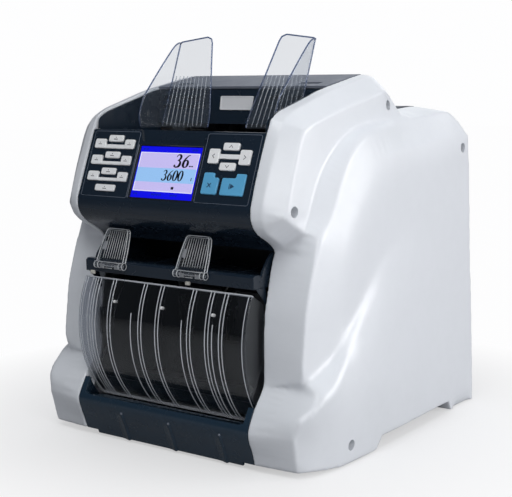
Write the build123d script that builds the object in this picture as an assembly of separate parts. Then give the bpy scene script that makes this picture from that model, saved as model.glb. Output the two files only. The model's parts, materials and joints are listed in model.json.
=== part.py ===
from build123d import *
import math
import os

# Two-pocket banknote counting machine: a hopper on top, a sloping control
# fascia, a reject tray below it and a stacker pocket behind a curved door.
# Working datum: x = 0 on the centre plane, front towards -Y, +X to the right
# seen from the front, z = 0 on the table. All lengths are millimetres.
# Unless a comment says otherwise, an outline is a list of (y, z) points.

# ---------------- shared dimensions ----------------
Y_SHIFT = -2.55                    # moves the origin to the centre of the whole machine
PANEL_IN = 100.0                   # inner face of each side panel
FRAME_IN, FRAME_OUT = 98.2, 99.7   # faces of each frame plate
FASCIA_HALF = 99.6                 # half width of the apron and fascia
SIDES = (-1, 1)                    # signs of x: left, right

SHAFT_R = 4.0
RUN = 0.05                         # radial running clearance
FIXING_R = 2.1                     # screw holes and tie rod ends in the frame

# shaft axes as (y, z)
PICKUP = (-92.0, 271.5)            # under the hopper floor
FEED = (-22.0, 268.0)              # behind the hopper
RETARD = (-16.0, 297.2)            # over the feed rollers
UPPER = (74.0, 236.0)              # upper transport rollers, at the back
LOWER = (86.0, 150.0)              # lower transport rollers
STACKER = (-18.0, 118.0)
DIVERTER = (-70.0, 192.0)
MOTOR = (70.0, 58.0)
TIE_RODS = [(-118.0, 205.0), (-134.0, 16.0), (120.0, 262.0), (132.0, 30.0), (8.0, 22.0)]

# panel screws: y, z, x of the skin, x of the screw head's seat
SCREWS = [(-130.0, 223.5, 127.0, 115.0), (23.2, 309.4, 129.0, 117.0),
          (139.0, 265.0, 147.0, 134.0), (-87.0, 17.5, 157.5, 144.0)]

DOOR_PIVOT = (-64.6, 107.0)
DOOR_PIVOT_R = 4.0
DOOR_R, DOOR_WALL = 97.7, 2.4      # outer radius and wall
DOOR_ARC = (-47.0, 28.3)           # degrees above the front horizontal
DOOR_HALF = 97.3                   # half width

STOPPER_AXIS = (-153.2, 165.4)
STOPPER_X = (-63.6, 31.9)          # centres of the two stoppers

# cover hinges: axis and x of each hinge
TOP_HINGE, TOP_HINGE_X = (55.4, 303.6), (-60, 60)
REAR_HINGE, REAR_HINGE_X = (154.4, 131.4), (-70, 70)


# ---------------- helpers ----------------
def extrude_loop(points, sweep):
    """Closed loop of vectors extruded along a vector."""
    return Solid.extrude(Face(Wire.make_polygon(points, close=True)), sweep)


def prism(outline, x0, x1):
    """(y, z) outline extruded from x0 to x1."""
    return extrude_loop([Vector(x0, y, z) for y, z in outline], Vector(x1 - x0, 0, 0))


def prism_y(outline, y0, y1):
    """(x, z) outline extruded from y0 to y1."""
    return extrude_loop([Vector(x, y0, z) for x, z in outline], Vector(0, y1 - y0, 0))


def prism_z(outline, z0, z1):
    """(x, y) outline extruded from z0 to z1."""
    return extrude_loop([Vector(x, y, z0) for x, y in outline], Vector(0, 0, z1 - z0))


def strip(path, wall):
    """Thickens an open (y, z) path on its left-hand side, with mitred corners."""
    last = len(path) - 1
    outer = []
    for i, (y, z) in enumerate(path):
        normals = []
        for j in (i - 1, i):
            if 0 <= j < last:
                dy, dz = path[j + 1][0] - path[j][0], path[j + 1][1] - path[j][1]
                length = math.hypot(dy, dz)
                normals.append((-dz / length, dy / length))
        ny = sum(normal[0] for normal in normals) / len(normals)
        nz = sum(normal[1] for normal in normals) / len(normals)
        reach = wall / (ny * ny + nz * nz)
        outer.append((y + ny * reach, z + nz * reach))
    return list(path) + outer[::-1]


def sheet(path, wall, x0, x1):
    return prism(strip(path, wall), x0, x1)


def box(x0, x1, y0, y1, z0, z1):
    """Box between two corners; each pair may come in either order."""
    middle = Pos((x0 + x1) / 2, (y0 + y1) / 2, (z0 + z1) / 2)
    return middle * Box(abs(x1 - x0), abs(y1 - y0), abs(z1 - z0))


def rod(radius, x0, x1, y, z):
    x0, x1 = sorted((x0, x1))
    return Solid.make_cylinder(radius, x1 - x0, Plane(origin=(x0, y, z), z_dir=(1, 0, 0)))


def rod_y(radius, y0, y1, x, z):
    return Solid.make_cylinder(radius, y1 - y0, Plane(origin=(x, y0, z), z_dir=(0, 1, 0)))


def rod_z(radius, z0, z1, x, y):
    return Solid.make_cylinder(radius, z1 - z0, Plane(origin=(x, y, z0), z_dir=(0, 0, 1)))


def mirror_x(shape):
    return mirror(shape, about=Plane.YZ)


def solids_of(shape):
    """Every solid in a shape or a nested list of shapes."""
    if isinstance(shape, (list, tuple)):
        return [solid for item in shape for solid in solids_of(item)]
    return list(shape.solids())


# ---------------- side panels ----------------
# Corners of the right panel's outer skin: (y, z, x). The first RIM_COUNT are
# its rim, in order.
RIM_COUNT = 66
SKIN_POINTS = [
    (-153.5, 5.8, 100), (-156.3, 16.3, 100), (-160.4, 26.1, 100), (-163.1, 35.6, 100),
    (-161.6, 41.3, 100), (-157.3, 49, 100), (-152.9, 56.7, 100), (-145.7, 64.8, 100),
    (-139.8, 74, 100), (-139, 82.6, 100), (-138.9, 98, 100), (-138.9, 113.2, 100),
    (-136.9, 139, 100), (-134.7, 147.3, 100), (-130.9, 162.3, 100), (-127.2, 176.5, 100),
    (-122.7, 187.1, 100), (-125.6, 190.9, 100), (-135.6, 197.7, 100), (-147, 204, 100),
    (-153.9, 211, 100), (-157, 218, 100), (-157, 226.3, 100), (-155.7, 232, 100),
    (-149.2, 250.7, 100), (-142, 268.5, 100), (-134.8, 285.7, 100), (-129.7, 296.3, 100),
    (-127.5, 300.4, 100), (-121.7, 304, 100), (-115.9, 306.8, 100), (-107.1, 309.4, 100),
    (-82.9, 316, 100), (-51.5, 324.8, 100), (-18.6, 331.5, 100), (4, 336, 100),
    (17.7, 338.1, 100), (26.5, 336.4, 104), (33, 331.5, 108), (43, 322.5, 112),
    (52, 314, 113), (58.5, 307.2, 112), (63.5, 304.6, 104), (89, 305, 101),
    (108, 306.3, 101), (121, 306, 102), (131, 300.5, 106), (142.5, 291, 112),
    (153.6, 276.1, 144), (155.6, 211, 146), (158.5, 160, 146), (161.8, 107, 146.5),
    (165.2, 52, 147), (168.2, 0.8, 147), (117, 0.8, 147.8), (112.4, 10, 148),
    (82.6, 10, 149), (4.9, 10, 152.5), (-28, 10, 153), (-39.5, 0.8, 154.6),
    (-53.2, 0.8, 155), (-87.8, 0.8, 155.5), (-103.2, 1.2, 154.6), (-122.2, 2.9, 151.6),
    (-139.1, 5, 147.5), (-149.7, 5.6, 141.5), (-122.6, 190.6, 110.5), (-124.6, 192.6, 110.5),
    (-135.4, 199.2, 110.5), (-145.4, 205, 110.5), (-151.3, 210.6, 110.5), (-154.1, 217.2, 110.5),
    (-154.7, 224.3, 110.5), (-153.7, 230.8, 110.5), (-147.4, 248.9, 110.5), (-140.6, 265, 110.5),
    (-132.2, 283.9, 110.5), (-127.3, 293.6, 110.5), (-123.8, 298.3, 110.5), (-119.5, 301.4, 110.5),
    (-113.5, 304.6, 110.5), (-106.4, 307.7, 110.5), (-82.6, 314.6, 110.5), (-51.2, 323.5, 110.5),
    (-18.3, 330.2, 110.5), (4, 334.7, 110), (17, 336.7, 109.5), (25.6, 334.8, 109.5),
    (-142.6, 219.4, 125), (-139.5, 225.5, 126), (-136.4, 235.5, 126), (-131.6, 250.6, 126),
    (-127.2, 262.5, 126), (-119, 283, 126), (-114.5, 290.6, 126.4), (-107.5, 294.6, 126.8),
    (-92, 299.4, 127.2), (-43, 311.4, 127.8), (-4, 319, 128), (14, 321.8, 127.5),
    (26, 318.5, 124.5), (-117.8, 204.5, 128), (-112.2, 215.4, 128), (-103.7, 235.1, 128),
    (-92.3, 253.9, 128), (-75.1, 270.1, 128), (-57.9, 281.1, 128), (-37.8, 288.4, 128),
    (-17.2, 291.8, 128), (13, 294.9, 128), (40, 297.2, 128), (49.5, 299, 126),
    (37, 309.5, 124), (-138.5, 77.6, 140), (-138.3, 98, 140), (-136.2, 113, 140),
    (-132.4, 140, 140), (-125.5, 163.5, 140), (-117, 187, 140), (-110.5, 200.5, 140),
    (-97, 212, 140), (-86, 229, 140), (-76.7, 247, 140), (-64.5, 266, 140),
    (-52, 277.6, 140), (-37, 285.4, 140), (-15, 289.4, 139), (10, 292, 136.5),
    (30, 293.6, 132.5), (45, 294.9, 131.5), (63.9, 296.4, 132), (88, 298.7, 134),
    (119, 301.2, 138), (137.7, 291, 141), (-84, 106, 146), (-85.5, 125, 146),
    (-83.9, 148, 146), (-79.5, 167, 146), (-73.5, 183, 146), (-61, 206, 146),
    (-41, 231, 146), (-19.8, 250, 146), (-6.7, 257, 146), (7.3, 261, 146),
    (35.5, 265.6, 146), (70, 268.3, 146), (105, 270, 146), (130, 271.6, 146),
    (-127.9, 82, 141.5), (-116.4, 87.7, 143), (-100, 95, 144.9), (-78.3, 112.5, 146),
    (-65.9, 124.9, 146), (-43.6, 150.5, 146), (-23.7, 170.9, 146), (18.4, 188.7, 146),
    (-157.4, 46.6, 143.5), (-154.5, 52, 148.5), (-146.5, 58.1, 153.3), (-136, 65, 156),
    (-127, 69.8, 157), (-114.6, 74.5, 157), (-104.4, 82.6, 155.5), (-95, 92.7, 153.5),
    (-87, 103, 151.5), (-75.7, 113.3, 150.5), (-61.8, 124, 149.5), (-29.6, 148.6, 148),
    (-9.8, 166.6, 147), (80, 196, 146), (-157.2, 38.5, 143.5), (-155, 28.3, 143),
    (-152.6, 18, 142.5), (-130, 30, 152), (-100, 30, 157.5), (-60, 30, 157.5),
    (0, 35, 154.5), (60, 32, 151), (120, 35, 148.7), (-112, 55, 158),
    (-85, 60, 158.2), (-50, 62, 157.2), (0, 65, 154), (60, 62, 150.5),
    (120, 65, 148.2), (-72, 92, 155.3), (-40, 98, 153.6), (0, 98, 152),
    (60, 98, 149.2), (120, 98, 147.4), (-25, 130, 150.8), (15, 132, 149.8),
    (60, 132, 148.2), (120, 132, 147), (20, 160, 147.9), (60, 165, 147.2),
    (110, 168, 146.5), (-60, 170, 146), (-30, 200, 146), (0, 225, 146),
    (40, 240, 146), (100, 240, 146), (-55, 150, 146),
]
# the skin's triangles, as indices into SKIN_POINTS
SKIN_TRIANGLES = [
    (4, 3, 170), (170, 156, 4), (156, 5, 4), (22, 21, 72), (3, 2, 171), (170, 3, 171),
    (65, 172, 0), (6, 157, 158), (19, 70, 20), (71, 20, 70), (0, 172, 1), (2, 1, 172),
    (171, 2, 172), (156, 170, 157), (5, 156, 157), (157, 6, 5), (20, 71, 21), (72, 21, 71),
    (22, 72, 73), (23, 22, 73), (73, 74, 23), (74, 24, 23), (113, 9, 8), (12, 115, 116),
    (116, 13, 12), (8, 7, 159), (10, 9, 114), (11, 10, 114), (114, 115, 11), (115, 12, 11),
    (18, 68, 69), (88, 69, 68), (76, 26, 25), (172, 65, 64), (159, 7, 158), (6, 158, 7),
    (18, 69, 19), (70, 19, 69), (69, 88, 70), (71, 70, 88), (72, 71, 88), (88, 89, 72),
    (73, 72, 89), (89, 90, 73), (74, 73, 90), (90, 91, 74), (91, 75, 74), (24, 74, 75),
    (75, 25, 24), (27, 77, 78), (28, 27, 78), (66, 16, 118), (80, 30, 79), (29, 79, 30),
    (148, 160, 161), (161, 149, 148), (15, 117, 118), (118, 16, 15), (16, 66, 17), (67, 17, 66),
    (66, 101, 67), (93, 94, 77), (78, 77, 94), (94, 79, 78), (79, 29, 78), (28, 78, 29),
    (163, 150, 162), (102, 119, 120), (120, 103, 102), (134, 151, 135), (174, 62, 61),
    (179, 174, 180), (163, 162, 180), (150, 163, 164), (164, 134, 150), (103, 120, 121),
    (121, 104, 103), (81, 95, 96), (96, 82, 81), (82, 32, 81), (31, 81, 32), (62, 174, 63),
    (173, 63, 174), (174, 179, 173), (161, 160, 179), (179, 180, 161), (180, 162, 161),
    (149, 161, 162), (162, 150, 149), (136, 137, 117), (118, 117, 137), (66, 118, 119),
    (101, 66, 119), (119, 102, 101), (103, 104, 92), (93, 92, 104), (104, 95, 93), (94, 93, 95),
    (79, 94, 95), (80, 79, 95), (95, 81, 80), (81, 31, 80), (30, 80, 31), (63, 173, 64),
    (172, 64, 173), (171, 172, 173), (170, 171, 173), (157, 170, 173), (158, 157, 173),
    (159, 158, 173), (173, 179, 159), (179, 160, 159), (8, 159, 160), (113, 8, 160),
    (160, 148, 113), (113, 148, 114), (148, 149, 114), (115, 114, 149), (149, 150, 115),
    (150, 135, 115), (116, 115, 135), (135, 136, 116), (136, 117, 116), (13, 116, 117),
    (14, 13, 117), (117, 15, 14), (17, 67, 18), (68, 18, 67), (67, 101, 68), (88, 68, 101),
    (89, 88, 101), (101, 102, 89), (90, 89, 102), (102, 103, 90), (91, 90, 103), (103, 92, 91),
    (75, 91, 92), (75, 92, 76), (92, 93, 76), (93, 77, 76), (26, 76, 77), (77, 27, 26),
    (165, 185, 166), (152, 165, 166), (197, 139, 138), (105, 122, 123), (123, 106, 105),
    (125, 107, 124), (60, 59, 175), (181, 186, 185), (166, 185, 186), (152, 166, 153),
    (202, 153, 197), (123, 122, 140), (106, 123, 124), (124, 107, 106), (107, 97, 106),
    (167, 190, 168), (154, 167, 168), (154, 168, 155), (142, 126, 141), (99, 86, 85),
    (35, 85, 86), (57, 176, 58), (187, 191, 190), (168, 190, 191), (142, 141, 199),
    (199, 143, 142), (126, 142, 143), (143, 127, 126), (108, 126, 127), (127, 109, 108),
    (109, 99, 98), (99, 85, 98), (84, 98, 85), (34, 84, 85), (85, 35, 34), (175, 59, 58),
    (181, 175, 58), (58, 176, 181), (176, 182, 181), (186, 181, 182), (182, 187, 186),
    (187, 190, 186), (166, 186, 190), (190, 167, 166), (167, 154, 153), (197, 153, 154),
    (154, 198, 197), (139, 197, 198), (140, 139, 198), (198, 199, 140), (199, 141, 140),
    (123, 140, 141), (124, 123, 141), (125, 124, 141), (141, 126, 125), (126, 108, 125),
    (107, 125, 108), (97, 107, 108), (108, 98, 97), (83, 97, 84), (84, 34, 83), (33, 83, 34),
    (87, 37, 36), (87, 100, 38), (37, 87, 38), (41, 40, 111), (145, 130, 129), (111, 129, 130),
    (41, 111, 130), (130, 42, 41), (192, 195, 194), (155, 194, 195), (144, 200, 145),
    (145, 129, 144), (128, 144, 129), (110, 128, 129), (129, 111, 110), (112, 110, 111),
    (111, 40, 112), (40, 39, 112), (100, 112, 39), (38, 100, 39), (54, 178, 55), (55, 178, 56),
    (169, 196, 49), (131, 146, 132), (43, 131, 44), (193, 189, 51), (51, 50, 193), (49, 48, 147),
    (133, 147, 48), (46, 133, 47), (178, 54, 53), (53, 52, 178), (184, 178, 52), (52, 51, 184),
    (51, 189, 184), (193, 50, 196), (50, 49, 196), (49, 147, 201), (146, 201, 147),
    (132, 146, 147), (147, 133, 132), (133, 46, 132), (46, 45, 132), (44, 132, 45),
    (56, 178, 177), (183, 177, 178), (178, 184, 183), (188, 183, 184), (184, 189, 188),
    (192, 188, 189), (189, 193, 192), (193, 196, 192), (195, 192, 196), (196, 169, 195),
    (155, 195, 169), (200, 155, 169), (169, 201, 200), (145, 200, 201), (201, 146, 145),
    (146, 131, 145), (130, 145, 131), (42, 130, 131), (131, 43, 42), (56, 177, 57),
    (176, 57, 177), (177, 183, 176), (182, 176, 183), (183, 188, 182), (187, 182, 188),
    (191, 187, 188), (188, 192, 191), (192, 194, 191), (168, 191, 194), (194, 155, 168),
    (199, 198, 155), (155, 200, 199), (143, 199, 200), (200, 144, 143), (127, 143, 144),
    (144, 128, 127), (109, 127, 128), (128, 110, 109), (99, 109, 100), (100, 87, 99),
    (86, 99, 87), (87, 36, 86), (35, 86, 36), (60, 175, 61), (174, 61, 175), (180, 174, 175),
    (175, 181, 180), (181, 185, 180), (163, 180, 185), (164, 163, 185), (185, 165, 164),
    (151, 134, 165), (165, 152, 151), (136, 135, 152), (152, 202, 136), (137, 136, 202),
    (202, 197, 137), (197, 138, 137), (118, 137, 138), (119, 118, 138), (120, 119, 138),
    (138, 139, 120), (121, 120, 139), (139, 140, 121), (140, 122, 121), (104, 121, 122),
    (122, 105, 104), (95, 104, 105), (96, 95, 105), (105, 106, 96), (106, 97, 96), (97, 83, 82),
    (32, 82, 83), (83, 33, 32), (25, 75, 76), (82, 96, 97), (98, 84, 97), (98, 108, 109),
    (112, 100, 109), (110, 112, 109), (9, 113, 114), (132, 44, 131), (134, 135, 150),
    (135, 151, 152), (153, 202, 152), (198, 154, 155), (134, 164, 165), (153, 166, 167),
    (201, 169, 49), (48, 47, 133),
]
# hollows cut from the inner face: depth limit x, then outline
HOLLOWS = [
    (135.5, [(-128, 84), (-128, 112), (-121, 150), (-110, 187), (-100, 200), (-84, 217),
             (-68, 246), (-50, 262), (-16, 274), (40, 276), (112, 281), (133, 279), (146, 262),
             (149, 205), (155, 107), (161, 14), (121, 14), (116, 22), (-30, 22), (-38, 14),
             (-100, 14), (-143, 14), (-148, 34), (-144, 44), (-133, 64)]),
    (142.5, [(-74, 18), (-70, 190), (-46, 218), (-18, 243), (8, 256), (38, 261), (134, 264),
             (147, 205), (153, 107), (159, 16), (122, 16), (116, 24), (-28, 24), (-36, 16)]),
    (123.0, [(-134, 228), (-113, 284), (-100, 293), (-44, 306), (-6, 314), (14, 316), (32, 306),
             (42, 292), (0, 282), (-40, 276), (-80, 240), (-108, 212)]),
]


def panel_solid():
    """Solid between the faceted skin and the flat inner face."""
    skin = [Vector(x, y, z) for y, z, x in SKIN_POINTS]
    base = [Vector(PANEL_IN, y, z) for y, z, x in SKIN_POINTS[:RIM_COUNT]]
    loops = [[skin[i] for i in triangle] for triangle in SKIN_TRIANGLES]
    # close the rim wherever it stands off the inner face
    for i in range(RIM_COUNT):
        j = (i + 1) % RIM_COUNT
        start_off, end_off = skin[i].X > PANEL_IN + 1e-6, skin[j].X > PANEL_IN + 1e-6
        if start_off and end_off:
            loops.append([skin[i], skin[j], base[j]])
            loops.append([skin[i], base[j], base[i]])
        elif start_off:
            loops.append([skin[i], skin[j], base[i]])
        elif end_off:
            loops.append([skin[i], skin[j], base[j]])
    loops.append(base)
    return Solid(Shell([Face(Wire.make_polygon(loop, close=True)) for loop in loops]))


def side_panel():
    panel = panel_solid()
    for depth_x, outline in HOLLOWS:
        panel -= prism(outline, PANEL_IN - 1, depth_x)
    # screw bosses, then their counterbores and holes
    for y, z, skin_x, seat_x in SCREWS:
        panel += rod(8.0, PANEL_IN, seat_x + 1.0, y, z)
    for y, z, skin_x, seat_x in SCREWS:
        panel -= rod(5.0, seat_x, skin_x + 12, y, z)
        panel -= rod(2.3, PANEL_IN - 1, seat_x + 1, y, z)
    return panel


def panel_screws():
    """Cross-slotted screws, both sides."""
    arm, half_slot = 3.0, 0.45
    screws = []
    for y, z, skin_x, seat_x in SCREWS:
        screw = rod(3.9, seat_x, seat_x + 3.2, y, z)
        screw += rod(2.0, FRAME_IN - 0.4, seat_x + 0.1, y, z)
        for half_y, half_z in ((arm, half_slot), (half_slot, arm)):
            screw -= box(seat_x + 1.6, seat_x + 4, y - half_y, y + half_y, z - half_z, z + half_z)
        screws += [screw, mirror_x(screw)]
    return screws


# ---------------- frame and base ----------------
FRAME_OUTLINE = [
    (-143, 8.2), (-149, 34), (-134, 62), (-131, 80), (-130, 116), (-124, 150), (-115, 184),
    (-122, 200), (-147, 218), (-147, 228), (-122, 290), (-110, 303), (-20, 325), (12, 331),
    (27, 328), (50, 306), (60, 300), (120, 299), (146, 268), (149.6, 205), (150.8, 146),
    (147.4, 139), (147.4, 124), (155.2, 118), (156, 107), (161, 8.2)]
FRAME_WINDOWS = [
    [(0, 60), (0, 100), (48, 104), (40, 40)],
    [(112, 110), (110, 200), (134, 200), (138, 110)],
    [(-20, 150), (-40, 240), (40, 250), (44, 170)]]
FRAME_CUT = (90, 110)              # x range of every cutter through the right plate


def frame_plate():
    plate = prism(FRAME_OUTLINE, FRAME_IN, FRAME_OUT)
    for y, z, skin_x, seat_x in SCREWS:
        plate -= rod(FIXING_R, *FRAME_CUT, y, z)
    for axis in (PICKUP, FEED, RETARD, UPPER, LOWER, STACKER, DIVERTER):
        plate -= rod(SHAFT_R + RUN, *FRAME_CUT, *axis)
    for axis in TIE_RODS:
        plate -= rod(FIXING_R, *FRAME_CUT, *axis)
    plate -= rod(DOOR_PIVOT_R, *FRAME_CUT, *DOOR_PIVOT)
    for outline in FRAME_WINDOWS:
        plate -= prism(outline, *FRAME_CUT)
    return plate


def tie_rods():
    """Rods between the frame plates, with thin ends through them."""
    return [rod(4.0, -FRAME_IN, FRAME_IN, *axis) + rod(FIXING_R, -FRAME_OUT, FRAME_OUT, *axis)
            for axis in TIE_RODS]


BASE_HALF, BASE_FLANGE_IN = 98.0, 96.6
BASE_BOTTOM, BASE_TOP = 6.6, 8.0


def base_plate():
    plate = box(-BASE_HALF, BASE_HALF, -141, 158, BASE_BOTTOM, BASE_TOP)
    plate += (box(-BASE_HALF, -BASE_FLANGE_IN, 52, 156, BASE_TOP, 20.0)
              + box(BASE_FLANGE_IN, BASE_HALF, 52, 156, BASE_TOP, 20.0))
    for x in (-60, -30, 0, 30, 60):
        for y in (60, 80):
            plate -= box(x - 9, x + 9, y, y + 6, 0, 12)
    return plate


def rubber_feet():
    return [rod_z(9.0, 0, BASE_BOTTOM, side * 78.0, y) for side in SIDES for y in (-108.0, 134.0)]


# ---------------- front apron ----------------
# outer face, from the bottom up
APRON_PATH = [(-150.2, 2.4), (-151.5, 5.8), (-155.5, 16.3), (-159.6, 26.1), (-162.2, 35.6),
              (-160.8, 41.3), (-156.5, 49.0), (-152.3, 56.2)]
APRON_LEDGE = [(-137.2, 36.4), (-146.0, 37.6), (-154.0, 39.4), (-159.0, 41.2)]


def front_apron():
    apron = sheet(APRON_PATH[::-1], 2.4, -FASCIA_HALF, FASCIA_HALF)
    # the lower edge stays up at both ends, where it meets the side panels
    apron -= box(-102, -86, -156, -146, 0, 5.8) + box(86, 102, -156, -146, 0, 5.8)
    # open the middle of the top edge for the door
    apron -= box(-93.5, 93.5, -170, -100, 43.5, 80)
    apron -= rod(DOOR_R + 0.9, -97.8, 97.8, *DOOR_PIVOT)
    # ledge behind the crest, below the door's lower edge
    apron += sheet(APRON_LEDGE, 2.0, -93.8, 93.8)
    # bottom return, notched for the frame and base
    apron += (box(-FASCIA_HALF, FASCIA_HALF, -151.6, -142.5, 5.8, 8.0)
              - box(-FRAME_IN, FRAME_IN, -143, -140, 0, 9))
    return apron


# ---------------- stacker door ----------------
DOOR_END_WALL = 2.3
DOOR_RIB_START = -44               # degrees
DOOR_RIBS = [(-77.8, 27), (-58.8, 27), (-31.9, 10), (-21.0, 27), (-0.9, 27),
             (27.5, 10), (36.0, 27), (56.0, 27), (71.3, 27)]  # x, end angle


def door_arc(radius, start, end, steps):
    """Points about the door pivot, angles in degrees above the front horizontal."""
    points = []
    for i in range(steps + 1):
        angle = math.radians(start + (end - start) * i / steps)
        points.append((DOOR_PIVOT[0] - radius * math.cos(angle),
                       DOOR_PIVOT[1] + radius * math.sin(angle)))
    return points


def stacker_door():
    start, end = DOOR_ARC
    y, z = DOOR_PIVOT
    inner_r = DOOR_R - DOOR_WALL
    outer_arc = door_arc(DOOR_R, start, end, 26)
    door = prism(outer_arc + door_arc(inner_r, end, start, 26), -DOOR_HALF, DOOR_HALF)
    # each end has a crescent wall and an arm back to the pivot
    crescent = outer_arc + [(-134.6, 143.6), (-133.2, 120), (-133.0, 96), (-132.2, 66)]
    arm = [(-134, 120), (-134, 94), (y, z - 8), (y + 7, z - 4), (y + 8, z), (y + 7, z + 4),
           (y, z + 8)]
    for side in SIDES:
        for outline in (crescent, arm):
            door = door + prism(outline, side * (DOOR_HALF - DOOR_END_WALL), side * DOOR_HALF)
    # circumferential ribs inside the shell
    for x, rib_end in DOOR_RIBS:
        rib = (door_arc(inner_r + 0.2, DOOR_RIB_START, rib_end, 20)
               + door_arc(inner_r - 2.4, rib_end, DOOR_RIB_START, 20))
        door = door + prism(rib, x - 0.8, x + 0.8)
    door -= rod(DOOR_PIVOT_R + RUN, -110, 110, *DOOR_PIVOT)
    return door


def pivot_pins():
    """Headed door pins, then each cover's hinge pins with their yokes."""
    pins = []
    for side in SIDES:
        pin = rod(DOOR_PIVOT_R, side * (DOOR_HALF - 3.2), side * FRAME_OUT, *DOOR_PIVOT)
        pin += rod(6.0, side * (DOOR_HALF - 3.2), side * (DOOR_HALF - 4.8), *DOOR_PIVOT)
        pins.append(pin)
    # axis, x places, (y, z) ranges of the two cheeks and of the bar joining them
    for axis, places, cheek, bar in (
            (TOP_HINGE, TOP_HINGE_X, (53.2, 57.0, 296.0, 305.2), (53.2, 57.0, 293.8, 296.0)),
            (REAR_HINGE, REAR_HINGE_X, (140.0, 156.0, 129.8, 133.0),
             (140.0, 142.0, 110.0, 133.0))):
        for x in places:
            pins.append(rod(1.5, x - 14, x + 14, *axis) + box(x - 14, x - 10, *cheek)
                        + box(x + 10, x + 14, *cheek) + box(x - 14, x + 14, *bar))
    return pins


# ---------------- stacker pocket ----------------
STACKER_WHEEL_X = (-56.0, 0.0, 56.0)
POCKET_HALF, POCKET_WALL = 91.6, 2.0
POCKET_PATH = [(-143.0, 62.0), (-141.5, 57.0), (-136.0, 54.5), (-84.0, 44.0), (-68.0, 46.0),
               (-57.0, 58.0), (-52.0, 78.0), (-51.0, 112.0), (-56.0, 136.0), (-70.0, 150.0)]
POCKET_CHEEK = [(-143.0, 62.5), (-136, 53.8), (-84, 43.2), (-66, 44.5), (-54, 57.0),
                (-49.6, 78), (-48.8, 112), (-54, 137), (-69, 151.5), (-100, 151.5),
                (-118, 120), (-128, 90)]
POCKET_SKIRT = [(-142.2, 61.0), (-137.6, 54.6), (-131.6, 47.2), (-126.2, 41.8), (-118.0, 37.0)]


def stacker_pocket():
    pocket = sheet(POCKET_PATH, POCKET_WALL, -POCKET_HALF, POCKET_HALF)
    for side in SIDES:
        pocket += prism(POCKET_CHEEK, side * 89.8, side * 91.8)
    # front skirt under the lip, just inside the door's sweep
    pocket += sheet(POCKET_SKIRT, POCKET_WALL, -POCKET_HALF, POCKET_HALF)
    # raised note bed with a slot in the middle
    pocket += prism([(-137, 55.0), (-133, 64.0), (-92, 56.0), (-84, 45.5)], -52, 52)
    pocket -= prism([(-120, 40), (-120, 70), (-104, 70), (-104, 40)], -16, 16)
    # openings in the rear wall for the stacker wheels
    for x in STACKER_WHEEL_X:
        pocket -= box(x - 8.5, x + 8.5, -66, -46, 84, 152)
    return pocket


# ---------------- reject tray ----------------
TRAY_SECTION = [  # front crossbar and the floor behind it
    (-149.3, 157.6), (-149.6, 167.6), (-147.4, 169.4), (-142.0, 169.4), (-138.0, 167.0),
    (-60.0, 161.5), (-60.0, 159.3), (-136.0, 164.0), (-141.0, 164.0), (-141.0, 157.6)]
TRAY_CHEEK = [
    (-121.6, 186.0), (-126.0, 183.0), (-135.2, 172.4), (-138.5, 165.2), (-147.0, 158.6),
    (-136.0, 157.6), (-66.0, 159.3), (-66.0, 187.0), (-118.0, 187.0)]
TRAY_TAIL = [  # thin tail hanging below each end of the crossbar
    (-147.0, 158.4), (-141.0, 157.6), (-133.0, 157.6), (-129.4, 140.0), (-131.6, 139.0),
    (-134.6, 146.0)]


def reject_tray():
    tray = prism(TRAY_SECTION, -97.9, 97.9)
    for side in SIDES:
        tray += prism(TRAY_CHEEK, side * 95.7, side * 97.9)
        tray += prism(TRAY_TAIL, side * 97.5, side * 98.1)
    for x in (-40.0, 0.0, 62.0):
        tray += box(x - 0.8, x + 0.8, -134, -64, 164.0, 166.4)
    return tray


# ---------------- reject stoppers ----------------
STOPPER_LEAN = (13.4, 31.6)        # (y, z) from the hinge block to the top edge
STOPPER_PIN_R = 1.5
KNUCKLE_IN, KNUCKLE_OUT = 12.5, 17.6   # x from the stopper's centre
STOPPER_SLOT_IN = 5.0              # a lug slot runs from here to each knuckle
# paddle outlines: (x from the centre, distance up the lean)
PADDLE = [(-17.2, 0), (17.2, 0), (16.5, 12), (14.8, 25), (13.0, 31.0), (10.2, 33.2),
          (-10.2, 33.2), (-13.0, 31.0), (-14.8, 25), (-16.5, 12)]
PADDLE_RAIL = [(17.2, 0), (15.8, 0), (15.1, 12), (13.4, 25.0), (11.9, 31.2), (13.0, 31.0),
               (14.8, 25), (16.5, 12)]


def stopper(centre_x):
    """Leaning ribbed paddle on a hinge block."""
    y, z = STOPPER_AXIS
    length = math.hypot(*STOPPER_LEAN)
    up_y, up_z = STOPPER_LEAN[0] / length, STOPPER_LEAN[1] / length

    def slab(outline, depth0, depth1):
        """Paddle outline extruded between two depths in front of its plane."""
        points = [Vector(centre_x + across, y + 1.6 + up_y * up - up_z * depth0,
                         z + 2.0 + up_z * up + up_y * depth0) for across, up in outline]
        thick = depth1 - depth0
        return extrude_loop(points, Vector(0, -up_z * thick, up_y * thick))

    body = slab(PADDLE, -0.9, 0.7)
    for side in SIDES:
        body += slab([(side * across, up) for across, up in PADDLE_RAIL], 0.5, 3.0)
    for i in range(-4, 5):
        left, right = i * 2.3 - 0.45, i * 2.3 + 0.45
        body += slab([(left, 4), (right, 4), (right, 31), (left, 31)], 0.5, 1.3)
    # hinge block, slotted for the lugs, with a knuckle at each end
    body += box(centre_x - KNUCKLE_OUT, centre_x + KNUCKLE_OUT, y - 2.8, y + 2.4, z - 2.4, z + 3.6)
    for side in SIDES:
        body -= box(centre_x + side * KNUCKLE_IN, centre_x + side * STOPPER_SLOT_IN,
                    y - 9, y + 9, z - 9, z + 1.9)
    for side in SIDES:
        body += rod(3.5, centre_x + side * KNUCKLE_IN, centre_x + side * KNUCKLE_OUT, y, z)
    body -= rod(STOPPER_PIN_R + RUN, centre_x - 30, centre_x + 30, y, z)
    return body


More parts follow.
